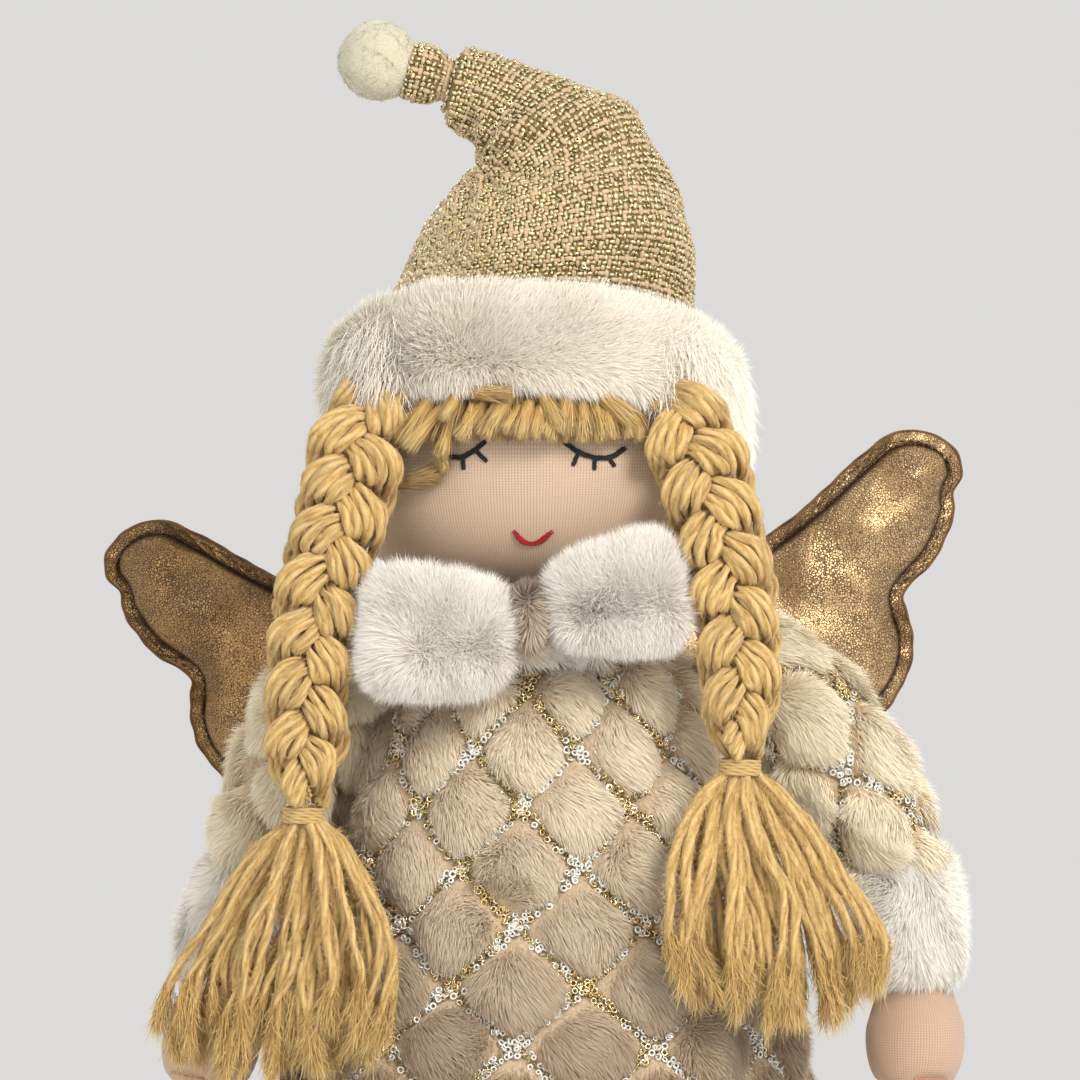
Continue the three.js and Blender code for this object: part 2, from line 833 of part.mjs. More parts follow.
function hand(side) {
  return limb({
    curve: armCurve(side),
    from: arm.cuffEndShare,
    to: arm.handEndShare,
    rows: arm.rows,
    halfWidth: arm.handHalfWidth,
    widthShares: arm.handWidthShares,
    depthShare: arm.depthShare,
    sides: arm.sides,
    roundEnd: arm.handRound,
  });
}

// Braids: three strands that pass over each other in turn, a tie and a tassel

class PlaitCurve extends THREE.Curve {
  constructor(phase, turns, length) {
    super();
    Object.assign(this, { phase, turns, length });
  }

  angleAt(t) {
    return 2 * Math.PI * (t * this.turns + this.phase);
  }

  getPoint(t, target = new THREE.Vector3()) {
    const angle = this.angleAt(t);
    const over = Math.tanh(braid.weaveTightness * Math.sin(2 * angle)) / Math.tanh(braid.weaveTightness);
    return target.set(braid.sway * Math.sin(angle), -braid.weave * over, -this.length * t);
  }
}

function braidCentreline(side) {
  const { pathShares, rootHeight, drop } = braids[side];
  return new THREE.CatmullRomCurve3(pathShares.map(([out, forward, down]) => new THREE.Vector3(
    headCentre[0] + sideSign[side] * head.halfWidth * out,
    -head.halfDepth * forward,
    neckTop + rootHeight - drop * down,
  )));
}

// Where the braid hinges, in front of its root at the brim's lower edge
function braidHinge(side) {
  const root = braidCentreline(side).getPoint(0);
  return new THREE.Vector3(root.x, -(head.halfDepth + braids[side].hingeForward), root.z);
}

// Bends a straight piece that hangs along -Z onto a centreline and tapers it
function bendAlong(geometry, curve, length) {
  const position = geometry.attributes.position;
  const point = new THREE.Vector3();
  for (let i = 0; i < position.count; i += 1) {
    point.fromBufferAttribute(position, i);
    const t = THREE.MathUtils.clamp(-point.z / length, 0, 1);
    const middle = curve.getPointAt(t);
    const along = curve.getTangentAt(t);
    const across = new THREE.Vector3(0, 1, 0).cross(along).normalize().negate();
    const front = across.clone().cross(along).normalize();
    const scale = THREE.MathUtils.lerp(braid.topScaleShare, braid.endScaleShare, t);
    const beyond = -point.z - t * length;
    middle.addScaledVector(across, point.x * scale);
    middle.addScaledVector(front, point.y * scale * braid.depthShare);
    middle.addScaledVector(along, beyond);
    position.setXYZ(i, middle.x, middle.y, middle.z);
  }
  return geometry;
}

function strand(side, number) {
  const centreline = braidCentreline(side);
  const length = centreline.getLength();
  const { turns } = braids[side];
  const path = new PlaitCurve(number / 3, turns, length);
  const steps = Math.round(turns * braid.stepsPerTurn);
  const rings = [];
  for (let s = 0; s <= steps; s += 1) {
    const t = s / steps;
    const angle = path.angleAt(t);
    const along = path.getTangent(t);
    const across = new THREE.Vector3(0, 1, 0).cross(along).normalize();
    const front = along.clone().cross(across);
    const edge = braid.edgeSwellShare * Math.sin(angle) ** 2;
    const slant = braid.slantSwellShare * Math.abs(Math.sin(2 * angle));
    const wide = braid.strandRadius * (1 + edge + slant);
    const deep = braid.strandRadius * (1 + edge / 2);
    const ring = [];
    for (let i = 0; i < braid.strandSides; i += 1) {
      const turn = (2 * Math.PI * i) / braid.strandSides;
      ring.push(path.getPoint(t)
        .addScaledVector(across, wide * Math.cos(turn))
        .addScaledVector(front, deep * Math.sin(turn)));
    }
    rings.push(ring);
  }
  return bendAlong(skin(rings), centreline, length);
}

// Top of the tie, just above the end of the plait
function tieTop(side) {
  const end = braidCentreline(side).getPointAt(1);
  return end.setZ(end.z - tassel.neckDrop);
}

function tieRing(side) {
  const { thickness, height, cornerShare, sides } = tie;
  const profile = ringProfile(tassel.neckHalfWidth + seatGap, thickness, 0, height, thickness * cornerShare);
  return new THREE.LatheGeometry(profile, sides).rotateX(-Math.PI / 2).translate(...tieTop(side));
}

function tasselFan(side) {
  const { tasselSpread, tasselShift } = braids[side];
  const { neckHalfWidth, halfDepth, height, swing, flutes, rows, sides } = tassel;
  const across = new THREE.Vector3(
    Math.cos(radians(tassel.turn)),
    sideSign[side] * Math.sin(radians(tassel.turn)),
    0,
  );
  const front = new THREE.Vector3(across.y, -across.x, 0);
  const rings = [];
  const neckRow = -1; // the neck's upper end, inside the tie
  for (let r = neckRow; r <= rows; r += 1) {
    const t = Math.max(0, r) / rows;
    const width = THREE.MathUtils.lerp(neckHalfWidth, tasselSpread, shareAt(tassel.spreadShares, t));
    const depth = THREE.MathUtils.lerp(neckHalfWidth, halfDepth, Math.min(1, t / tassel.deepenShare));
    const settle = t * t * (3 - 2 * t);
    const neck = r === neckRow ? 0 : tie.height + seatGap;
    const middle = tieTop(side).add(new THREE.Vector3(
      tasselShift * settle,
      -swing * settle,
      -neck - height * t,
    ));
    const flute = r < tassel.fluteFromRow ? 0 : tassel.fluteShare;
    const ring = [];
    for (let i = 0; i < sides; i += 1) {
      const angle = (2 * Math.PI * i) / sides;
      const swell = 1 + flute * Math.cos(2 * flutes * angle);
      ring.push(middle.clone()
        .addScaledVector(across, width * swell * Math.cos(angle))
        .addScaledVector(front, depth * swell * Math.sin(angle)));
    }
    rings.push(ring);
  }
  return skin(rings);
}

// Wings: two leather panels sewn together round a pad of stuffing

function wingPoint([out, up]) {
  return new THREE.Vector3(wing.width * out, wing.height * up, 0);
}

function wingOutline() {
  const curve = new THREE.CatmullRomCurve3(wing.outlineShares.map(wingPoint), true, 'centripetal');
  return curve.getSpacedPoints(wing.sides).slice(0, wing.sides);
}

function domeAt(share) {
  const within = Math.min(1, share / wing.stitchShare);
  return wing.domeHeight * (1 - within ** 2) ** wing.domePower;
}

// Ring of the panel at a share of the way from the middle to the edge, raised from the seam's plane
function wingRing(share, height) {
  const wave = share > wing.stitchShare ? wing.ripple : 0;
  return wingOutline().map((point, i) => {
    const lift = wave * Math.sin((2 * Math.PI * wing.ripples * i) / wing.sides);
    return wingPoint(wing.middleShares).lerp(point, share).setZ(height + lift);
  });
}

function wingApex(height) {
  return wingPoint(wing.middleShares).setZ(height);
}

function wingPanel(face) {
  const inside = seatGap / 2;
  const shares = [...wing.domeRingShares, 1];
  const outer = shares.map((share) => wingRing(share, face * (inside + domeAt(share) + wing.leather)));
  const inner = shares.map((share) => wingRing(share, face * (inside + domeAt(share))));
  const start = wingApex(face * (inside + wing.domeHeight + wing.leather));
  const end = wingApex(face * (inside + wing.domeHeight));
  return skin([...outer, ...inner.reverse()], { start, end });
}

function wingStuffing() {
  const shares = wing.domeRingShares.slice(0, -1);
  const halfOf = (face) => shares.map((share) => wingRing(share, face * (domeAt(share) - seatGap)));
  const apex = (face) => wingApex(face * (wing.domeHeight - seatGap));
  return skin([...halfOf(1), ...halfOf(-1).reverse()], { start: apex(1), end: apex(-1) });
}

// Where a wing is sewn onto the back of the dress, and the hinge
function wingRoot(side) {
  const depthShare = shareAt(torso.widthShares, 1 - wing.rootDrop / torso.height);
  return new THREE.Vector3(
    wings[side].rootShift,
    torso.halfDepth * depthShare + wing.behind,
    neckTop - wing.rootDrop,
  );
}

// Colours and finishes

const finishes = {
  felt: () => material(0xcfc3b0, 0.95),
  pellets: () => material(0xb8b4aa, 0.9),
  dressPlush: () => material(0xd7be9f, 0.95),
  whitePlush: () => material(0xf0eae2, 0.95),
  jersey: () => material(0xe1b99b, 0.85),
  hatWeave: () => material(0xc3aa78, 0.6, 0.2),
  hatThread: () => material(0xb59a68, 0.8),
  pompomFelt: () => material(0xe8e4c8, 0.95),
  yarn: () => material(0xd6b26e, 0.9),
  leather: () => material(0x82643a, 0.4, 0.5),
  stuffing: () => material(0xf4f2ee, 1),
};

// Assembly

const angel = new THREE.Group();

angel.add(mesh('base_disc', baseDisc(), finishes.felt()));
angel.add(mesh('weight_bag', weightBag(), finishes.pellets()));
angel.add(mesh('dress_body', dressBody(), finishes.dressPlush()));
angel.add(mesh('head', cut(headBall(0), torsoSeat), finishes.jersey()));
angel.add(mesh('hat_brim', cut(brimBand(0), headSeat), finishes.whitePlush()));
angel.add(mesh('hat_crown', cut(crownCone(), headSeat, brimSeat), finishes.hatWeave()));
angel.add(mesh('fringe', cut(fringeLocks(), brimSeat, headSeat), finishes.yarn()));

function addHatTip() {
  const group = new THREE.Group();
  group.position.copy(crownEnd.middle);
  group.quaternion.setFromUnitVectors(new THREE.Vector3(0, 1, 0), tipDirection);
  const ballAt = new THREE.Vector3(0, hatTip.height + pompom.radius - pompom.sink, 0);
  const hollow = new THREE.IcosahedronGeometry(pompom.radius + seatGap, pompom.splits).translate(...ballAt);
  group.add(mesh('hat_tie', hatTieRing(), finishes.hatThread()));
  group.add(mesh('hat_tip', cut(hatTipBulb(), hollow), finishes.hatWeave()));
  const ball = mesh('pompom', new THREE.IcosahedronGeometry(pompom.radius, pompom.splits), finishes.pompomFelt());
  ball.position.copy(ballAt);
  group.add(ball);
  angel.add(group);
}

function addCollar() {
  const knotSeat = collarKnot(seatGap);
  const lobeSeats = ['right', 'left'].map((side) => collarLobe(side, seatGap));
  angel.add(mesh('collar_knot', cut(collarKnot(0), torsoSeat, headSeat), finishes.whitePlush()));
  for (const side of ['right', 'left']) {
    const lobe = cut(collarLobe(side, 0), torsoSeat, headSeat, knotSeat);
    angel.add(mesh(`collar_lobe_${side}`, lobe, finishes.whitePlush()));
  }
  const bandCut = cut(collarBand(), torsoSeat, headSeat, knotSeat, ...lobeSeats);
  angel.add(mesh('collar_band', bandCut, finishes.whitePlush()));
}

function addArm(side) {
  const group = new THREE.Group();
  group.position.set(sideSign[side] * shoulderOut, 0, neckTop - arm.shoulderDrop);
  const torsoHere = torsoSeat.clone().translate(...group.position.clone().negate());
  group.add(mesh(`arm_${side}_sleeve`, cut(mirrored(sleeve(side), side), torsoHere), finishes.dressPlush()));
  group.add(mesh(`arm_${side}_cuff`, cut(mirrored(cuffRing(side), side), torsoHere), finishes.whitePlush()));
  group.add(mesh(`arm_${side}_hand`, cut(mirrored(hand(side), side), torsoHere), finishes.jersey()));
  angel.add(group);
}

function addBraid(side) {
  const group = new THREE.Group();
  group.position.copy(braidHinge(side));
  const away = group.position.clone().negate();
  for (const number of [1, 2, 3]) {
    const piece = cut(strand(side, number), brimBand(swingGap), headBall(swingGap)).translate(...away);
    group.add(mesh(`braid_${side}_strand_${number}`, piece, finishes.yarn()));
  }
  group.add(mesh(`braid_${side}_tie`, tieRing(side).translate(...away), finishes.yarn()));
  const fan = cut(tasselFan(side), torsoSeat).translate(...away);
  group.add(mesh(`braid_${side}_tassel`, fan, finishes.yarn()));
  angel.add(group);
}

function addWing(side) {
  const { tilt, lean } = wings[side];
  const sign = sideSign[side];
  const group = new THREE.Group();
  group.position.copy(wingRoot(side));
  // the panel's plane stands upright: out along X, up along Z, its face along -Y
  const upright = new THREE.Matrix4().makeRotationX(Math.PI / 2);
  const lifted = new THREE.Matrix4().makeRotationY(-sign * radians(tilt));
  const leaned = new THREE.Matrix4().makeRotationZ(sign * radians(lean));
  group.quaternion.setFromRotationMatrix(leaned.multiply(lifted).multiply(upright));
  group.updateMatrixWorld(true);
  const torsoHere = torsoSeat.clone().applyMatrix4(group.matrixWorld.clone().invert());
  const pieces = [
    ['front', wingPanel(1), finishes.leather()],
    ['back', wingPanel(-1), finishes.leather()],
    ['stuffing', wingStuffing(), finishes.stuffing()],
  ];
  for (const [name, geometry, finish] of pieces) {
    group.add(mesh(`wing_${side}_${name}`, cut(mirrored(geometry, side), torsoHere), finish));
  }
  angel.add(group);
}

addHatTip();
addCollar();
for (const side of ['right', 'left']) {
  addArm(side);
  addBraid(side);
  addWing(side);
}

export default angel;
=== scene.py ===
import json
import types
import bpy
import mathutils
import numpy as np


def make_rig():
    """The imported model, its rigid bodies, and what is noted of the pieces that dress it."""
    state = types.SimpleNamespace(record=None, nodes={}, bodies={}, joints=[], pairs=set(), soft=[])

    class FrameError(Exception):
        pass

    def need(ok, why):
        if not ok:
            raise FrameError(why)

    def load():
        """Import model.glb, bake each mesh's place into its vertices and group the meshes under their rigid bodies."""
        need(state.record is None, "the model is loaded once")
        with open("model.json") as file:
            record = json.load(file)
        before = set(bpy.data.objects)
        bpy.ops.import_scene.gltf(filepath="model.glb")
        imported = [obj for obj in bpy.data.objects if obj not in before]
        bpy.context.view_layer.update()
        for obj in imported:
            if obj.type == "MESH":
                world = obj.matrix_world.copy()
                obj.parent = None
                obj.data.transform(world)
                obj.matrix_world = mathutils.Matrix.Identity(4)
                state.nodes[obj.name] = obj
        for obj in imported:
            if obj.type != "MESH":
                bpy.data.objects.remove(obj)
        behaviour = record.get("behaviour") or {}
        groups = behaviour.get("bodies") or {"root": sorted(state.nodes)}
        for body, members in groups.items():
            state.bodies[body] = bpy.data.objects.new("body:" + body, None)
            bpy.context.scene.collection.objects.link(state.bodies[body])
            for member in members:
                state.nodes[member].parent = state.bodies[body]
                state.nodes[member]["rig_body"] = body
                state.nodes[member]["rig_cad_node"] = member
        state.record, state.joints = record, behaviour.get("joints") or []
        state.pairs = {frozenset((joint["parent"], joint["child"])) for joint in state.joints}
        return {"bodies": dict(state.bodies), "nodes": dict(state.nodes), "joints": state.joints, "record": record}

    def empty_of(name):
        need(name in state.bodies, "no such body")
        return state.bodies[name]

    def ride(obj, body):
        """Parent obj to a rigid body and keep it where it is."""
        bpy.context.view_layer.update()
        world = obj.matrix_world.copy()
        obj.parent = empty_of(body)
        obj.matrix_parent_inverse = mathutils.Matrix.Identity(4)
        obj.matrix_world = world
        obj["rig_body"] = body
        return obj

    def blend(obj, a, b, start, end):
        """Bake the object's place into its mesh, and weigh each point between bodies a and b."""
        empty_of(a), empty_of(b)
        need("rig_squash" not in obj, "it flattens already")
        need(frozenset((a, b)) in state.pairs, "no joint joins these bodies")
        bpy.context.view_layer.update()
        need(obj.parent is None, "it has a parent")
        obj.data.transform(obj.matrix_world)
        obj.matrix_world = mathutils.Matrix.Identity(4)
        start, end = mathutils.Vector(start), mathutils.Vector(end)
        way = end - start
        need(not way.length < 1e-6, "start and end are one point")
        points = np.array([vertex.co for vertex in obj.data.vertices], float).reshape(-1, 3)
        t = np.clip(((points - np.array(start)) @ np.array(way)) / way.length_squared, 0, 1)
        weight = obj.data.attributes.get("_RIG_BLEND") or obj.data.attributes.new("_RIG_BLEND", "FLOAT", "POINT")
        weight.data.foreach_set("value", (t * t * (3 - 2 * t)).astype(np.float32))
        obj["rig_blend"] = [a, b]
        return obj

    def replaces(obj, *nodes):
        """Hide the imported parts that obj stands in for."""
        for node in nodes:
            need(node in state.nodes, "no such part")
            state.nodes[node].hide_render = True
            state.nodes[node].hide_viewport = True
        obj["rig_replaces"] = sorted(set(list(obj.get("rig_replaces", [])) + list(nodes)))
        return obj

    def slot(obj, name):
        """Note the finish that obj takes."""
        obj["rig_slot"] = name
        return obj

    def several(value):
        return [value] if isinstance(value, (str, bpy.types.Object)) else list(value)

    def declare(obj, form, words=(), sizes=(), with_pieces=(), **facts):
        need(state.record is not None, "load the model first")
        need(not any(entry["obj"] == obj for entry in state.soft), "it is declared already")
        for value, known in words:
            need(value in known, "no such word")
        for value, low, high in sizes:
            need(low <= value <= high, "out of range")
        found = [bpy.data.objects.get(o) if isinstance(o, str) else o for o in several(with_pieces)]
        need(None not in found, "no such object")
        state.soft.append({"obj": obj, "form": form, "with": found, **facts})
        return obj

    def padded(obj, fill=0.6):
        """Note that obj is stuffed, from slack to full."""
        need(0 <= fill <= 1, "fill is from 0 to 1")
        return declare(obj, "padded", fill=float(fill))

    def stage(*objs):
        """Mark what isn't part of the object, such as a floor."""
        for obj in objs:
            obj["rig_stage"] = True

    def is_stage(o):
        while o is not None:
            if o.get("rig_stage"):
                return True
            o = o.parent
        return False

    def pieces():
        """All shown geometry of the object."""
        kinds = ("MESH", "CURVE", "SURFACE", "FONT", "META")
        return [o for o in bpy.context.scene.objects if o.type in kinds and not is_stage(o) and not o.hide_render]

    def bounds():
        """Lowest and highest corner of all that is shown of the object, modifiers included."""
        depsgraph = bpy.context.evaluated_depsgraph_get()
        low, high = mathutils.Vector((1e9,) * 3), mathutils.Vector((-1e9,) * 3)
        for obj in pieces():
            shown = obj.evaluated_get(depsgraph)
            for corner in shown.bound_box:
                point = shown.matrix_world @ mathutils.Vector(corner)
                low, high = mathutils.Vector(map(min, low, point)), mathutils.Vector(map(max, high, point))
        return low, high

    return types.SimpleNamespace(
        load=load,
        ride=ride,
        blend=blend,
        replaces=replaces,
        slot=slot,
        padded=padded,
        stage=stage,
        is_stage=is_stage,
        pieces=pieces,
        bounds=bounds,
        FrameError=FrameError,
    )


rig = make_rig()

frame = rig.load()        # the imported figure: bodies, nodes, joints and record

import json
import math
import bpy
import numpy as np
from mathutils import kdtree

cadBox = [list(corner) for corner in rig.bounds()]
mm = 0.001        # lengths below are in millimetres
mostTriangles = 195000        # in one piece
lowestHair = 0.2        # above the floor
signs = {"right": -1, "left": 1}        # the way x grows on each of the figure's own sides


# Camera and light

studio = {
    "aim": (-1.55, -35.0, 236.0),
    "distance": 2600.0,
    "seenWidth": 334.8,        # at the depth of the aim
    "floorRadius": 850.0,
    "floorDrop": 0.4,        # so that it doesn't cut the base
    "paper": (220, 219, 217),
    "lampAim": (0, 0, 0.22),
    "lamps": {        # place in metres, width, power and tint
        "keyLight": ((0.66, -1.03, 0.93), 0.55, 15.5, (1, 0.97, 0.93)),
        "fillLight": ((-1.1, -1.3, 0.45), 1.1, 4.5, (1, 1, 1)),
        "rimLight": ((-0.6, 1.1, 1.0), 0.8, 4.0, (1, 1, 1)),
    },
}


def shade(red, green, blue):        # from 0 to 255 as seen on a screen
    out = []
    for value in (red, green, blue):
        v = value / 255
        out.append(v / 12.92 if v <= 0.04045 else ((v + 0.055) / 1.055) ** 2.4)
    return tuple(out)


def setCamera():
    lens = bpy.data.cameras.new("viewCamera")
    lens.sensor_width = 36
    lens.lens = lens.sensor_width * studio["distance"] / studio["seenWidth"]
    lens.clip_start, lens.clip_end = 0.1, 50
    holder = bpy.data.objects.new("viewCamera", lens)
    x, y, z = studio["aim"]
    holder.location = (x * mm, (y - studio["distance"]) * mm, z * mm)
    holder.rotation_euler = (math.radians(90), 0, 0)
    bpy.context.scene.collection.objects.link(holder)
    bpy.context.scene.camera = holder


def softLight(name, place, size, power, tint):
    lamp = bpy.data.lights.new(name, "AREA")
    lamp.shape, lamp.size, lamp.energy, lamp.color = "DISK", size, power, tint
    holder = bpy.data.objects.new(name, lamp)
    holder.location = place
    aim = np.array(studio["lampAim"]) - np.array(place)
    flat = math.hypot(aim[0], aim[1])
    holder.rotation_euler = (math.pi / 2 + math.atan2(aim[2], flat), 0, math.atan2(-aim[0], aim[1]))
    bpy.context.scene.collection.objects.link(holder)


def setStudio():
    scene = bpy.context.scene
    scene.view_settings.view_transform = "Standard"
    world = bpy.data.worlds.new("paleRoom")
    world.use_nodes = True
    world.node_tree.nodes["Background"].inputs["Color"].default_value = (*shade(*studio["paper"]), 1)
    scene.world = world
    for name, facts in studio["lamps"].items():
        softLight(name, *facts)


setCamera()
setStudio()
print("camera and light are set")


# Small geometry tools

def unit(vectors):
    return vectors / np.maximum(np.linalg.norm(vectors, axis=-1, keepdims=True), 1e-9)


def dot(a, b):
    return (a * b).sum(-1, keepdims=True)


def circle(count):        # angles once round
    return 2 * np.pi * np.arange(count) / count


def curve(a, b, c, d, t):        # smooth from b to c, towards their neighbours
    return 0.5 * (2 * b + (c - a) * t + (2 * a - 5 * b + 4 * c - d) * t**2 + (3 * b - a - 3 * c + d) * t**3)


def reached(line):        # the length of a line up to each of its points
    return np.concatenate([[0], np.cumsum(np.linalg.norm(np.diff(line, axis=0), axis=1))])


def between(want, known, rows):        # each column of the rows read where it is wanted
    return np.stack([np.interp(want, known, column) for column in rows.T], 1)


def readAt(table, t):        # a smooth reading of evenly spaced values
    rows = np.asarray(table, float)
    last = len(rows) - 1
    place = np.clip(np.asarray(t, float), 0, 1) * last
    i = np.minimum(place.astype(int), last - 1)
    f = place - i
    if rows.ndim > 1:
        f = f[..., None]
    return curve(rows[np.maximum(i - 1, 0)], rows[i], rows[i + 1], rows[np.minimum(i + 2, last)], f)


def evenly(points, count, closed=False):        # even steps along a smooth line
    p = np.asarray(points, float)
    if closed:
        ends = np.vstack([p[-1:], p, p[:2]])
    else:
        ends = np.vstack([2 * p[:1] - p[1:2], p, 2 * p[-1:] - p[-2:-1]])
    t = np.linspace(0, 1, 20, endpoint=False)[:, None]
    dense = np.vstack([curve(*ends[i:i + 4], t) for i in range(len(ends) - 3)] + [ends[-2:-1]])
    gone = reached(dense)
    line = between(np.linspace(0, gone[-1], count + int(closed)), gone, dense)
    return line[:-1] if closed else line


def lineLength(points):
    return np.linalg.norm(np.diff(points, axis=0), axis=1).sum()


def rotation(axis, degrees):
    c, s = math.cos(math.radians(degrees)), math.sin(math.radians(degrees))
    return np.array({
        "x": [[1, 0, 0], [0, c, -s], [0, s, c]],
        "y": [[c, 0, s], [0, 1, 0], [-s, 0, c]],
        "z": [[c, -s, 0], [s, c, 0], [0, 0, 1]],
    }[axis])


def turned(profile, angle):        # rings of each radius and height
    return np.stack([np.stack([r * np.cos(angle), r * np.sin(angle), 0 * angle + h], 1) for r, h in profile])


class Drift:        # a smooth random field made of crossed waves
    def __init__(self, size, seed, waves=10):
        chance = np.random.default_rng(seed)
        self.ways = unit(chance.normal(size=(waves, 3))) * (2 * np.pi / size) * chance.uniform(0.6, 1.5, (waves, 1))
        self.phase = chance.uniform(0, 2 * np.pi, waves)
        self.lean = unit(chance.normal(size=(waves, 3)))

    def at(self, points):        # about -1 to 1
        return np.sin(points @ self.ways.T + self.phase).sum(-1) / math.sqrt(len(self.phase)) * 0.8

    def wayAt(self, points):        # a vector, each part about -1 to 1
        return np.sin(points @ self.ways.T + self.phase) @ self.lean * 0.8


def superCircle(angle, fullness):
    c, s = np.cos(angle), np.sin(angle)
    return np.sign(c) * np.abs(c) ** (2 / fullness), np.sign(s) * np.abs(s) ** (2 / fullness)


# A part is a dict: points, its four-sided and three-sided faces, and three values a point

def part(points, quads=None, tris=None, values=None):
    points = np.asarray(points, float).reshape(-1, 3)
    return {
        "points": points,
        "quads": np.zeros((0, 4), int) if quads is None else np.asarray(quads, int).reshape(-1, 4),
        "tris": np.zeros((0, 3), int) if tris is None else np.asarray(tris, int).reshape(-1, 3),
        "values": np.zeros((len(points), 3)) if values is None else np.asarray(values, float).reshape(-1, 3),
    }


def together(parts):
    shift = np.cumsum([0] + [len(p["points"]) for p in parts])
    return {
        "points": np.vstack([p["points"] for p in parts]),
        "quads": np.vstack([p["quads"] + s for p, s in zip(parts, shift)]),
        "tris": np.vstack([p["tris"] + s for p, s in zip(parts, shift)]),
        "values": np.vstack([p["values"] for p in parts]),
    }


def outwards(p):        # turns the faces of a closed part out
    total = 0.0
    for faces in (p["quads"][:, [0, 1, 2]], p["quads"][:, [0, 2, 3]], p["tris"]):
        a, b, c = (p["points"][faces[:, i]] for i in range(3))
        total += (a * np.cross(b, c)).sum()
    if total < 0:
        p["quads"], p["tris"] = p["quads"][:, ::-1], p["tris"][:, ::-1]
    return p


def capped(field):        # the same field with nothing at a grid's two middle points
    field = field.reshape(-1, 3) if field.ndim == 3 else field.ravel()
    return np.concatenate([field, np.zeros((2, *field.shape[1:]))])


def grid(rings, values=None, endCap=True, ringsClosed=False):        # rings of points, with a middle point at each end
    rows, count, _ = rings.shape
    points = rings.reshape(-1, 3)
    r, i = np.meshgrid(np.arange(rows if ringsClosed else rows - 1), np.arange(count), indexing="ij")
    nextRow, nextOne = (r + 1) % rows, (i + 1) % count
    quads = np.stack([r * count + i, r * count + nextOne, nextRow * count + nextOne, nextRow * count + i], -1)
    if ringsClosed:
        return outwards(part(points, quads))
    tris = []
    values = np.zeros((len(points), 3)) if values is None else values.reshape(-1, 3)
    i = np.arange(count)
    for first in (0, (rows - 1) * count)[:1 + endCap]:
        fan = [np.full(count, len(points)), first + (i + 1) % count, first + i]
        tris.append(np.stack(fan if first == 0 else fan[::-1], -1))
        points = np.vstack([points, points[first:first + count].mean(0)])
        values = np.vstack([values, values[first:first + count].mean(0)])
    return outwards(part(points, quads, np.vstack(tris), values))


def normalsOf(p):
    total = np.zeros_like(p["points"])
    for faces in (p["quads"], p["tris"]):
        if len(faces):
            a, b, c = (p["points"][faces[:, i]] for i in (0, 1, 2))
            n = np.cross(b - a, c - a)
            for i in range(faces.shape[1]):
                np.add.at(total, faces[:, i], n)
    return unit(total)


def scatter(p, count, chance, weight=None):        # random places on the four-sided faces
    f = p["quads"]
    a, b, c, d = (p["points"][f[:, i]] for i in range(4))
    area = np.linalg.norm(np.cross(c - a, d - b), axis=1)
    if weight is not None:
        area = area * weight[f].mean(1)
    pick = f[chance.choice(len(f), count, p=area / area.sum())]
    u, v = chance.random((2, count))
    shares = np.stack([(1 - u) * (1 - v), u * (1 - v), u * v, (1 - u) * v], 1)

    def read(field):
        field = np.asarray(field)
        if field.ndim == 1:
            return (field[pick] * shares).sum(1)
        return (field[pick] * shares[..., None]).sum(1)

    return read


def toned(chance, count, size=2):        # a random tone and nothing in the other values
    values = np.zeros((count, size))
    values[:, 0] = chance.random(count)
    return values


def hairs(roots, lean, tipLean, length, width, facing, values, steps=(0, 0.5, 1)):
    steps = np.array(steps)
    s = steps[None, :, None]
    long = length[:, None, None]
    middle = roots[:, None] + long * (lean[:, None] * s + (tipLean - lean)[:, None] * s**2 / 2)
    along = unit(lean[:, None] + (tipLean - lean)[:, None] * s)
    sideways = unit(np.cross(along, facing[:, None]))
    half = (width[:, None, None] / 2) * (1 - s) ** 0.6
    k, m = len(roots), len(steps)
    left, right = (middle - sideways * half)[:, :-1], (middle + sideways * half)[:, :-1]
    points = np.concatenate([np.stack([left, right], 2).reshape(k, -1, 3), middle[:, -1:]], 1)
    each = 2 * (m - 1) + 1
    base = (np.arange(k) * each)[:, None, None]
    quads = np.array([[2 * j, 2 * j + 1, 2 * j + 3, 2 * j + 2] for j in range(m - 2)])[None] + base
    tris = np.array([[2 * (m - 2), 2 * (m - 2) + 1, 2 * (m - 1)]])[None] + base
    share = np.append(np.repeat(steps[:-1], 2), 1.0)
    vals = np.empty((k, each, 3))
    vals[:, :, 0] = values[:, :1]
    vals[:, :, 1] = share
    vals[:, :, 2] = values[:, 1:2]
    return part(points, quads, tris, vals)


def nearest(points, centres):
    tree = kdtree.KDTree(len(centres))
    for i, c in enumerate(centres):
        tree.insert(c, i)
    tree.balance()
    return np.array([tree.find(p)[1] for p in points])


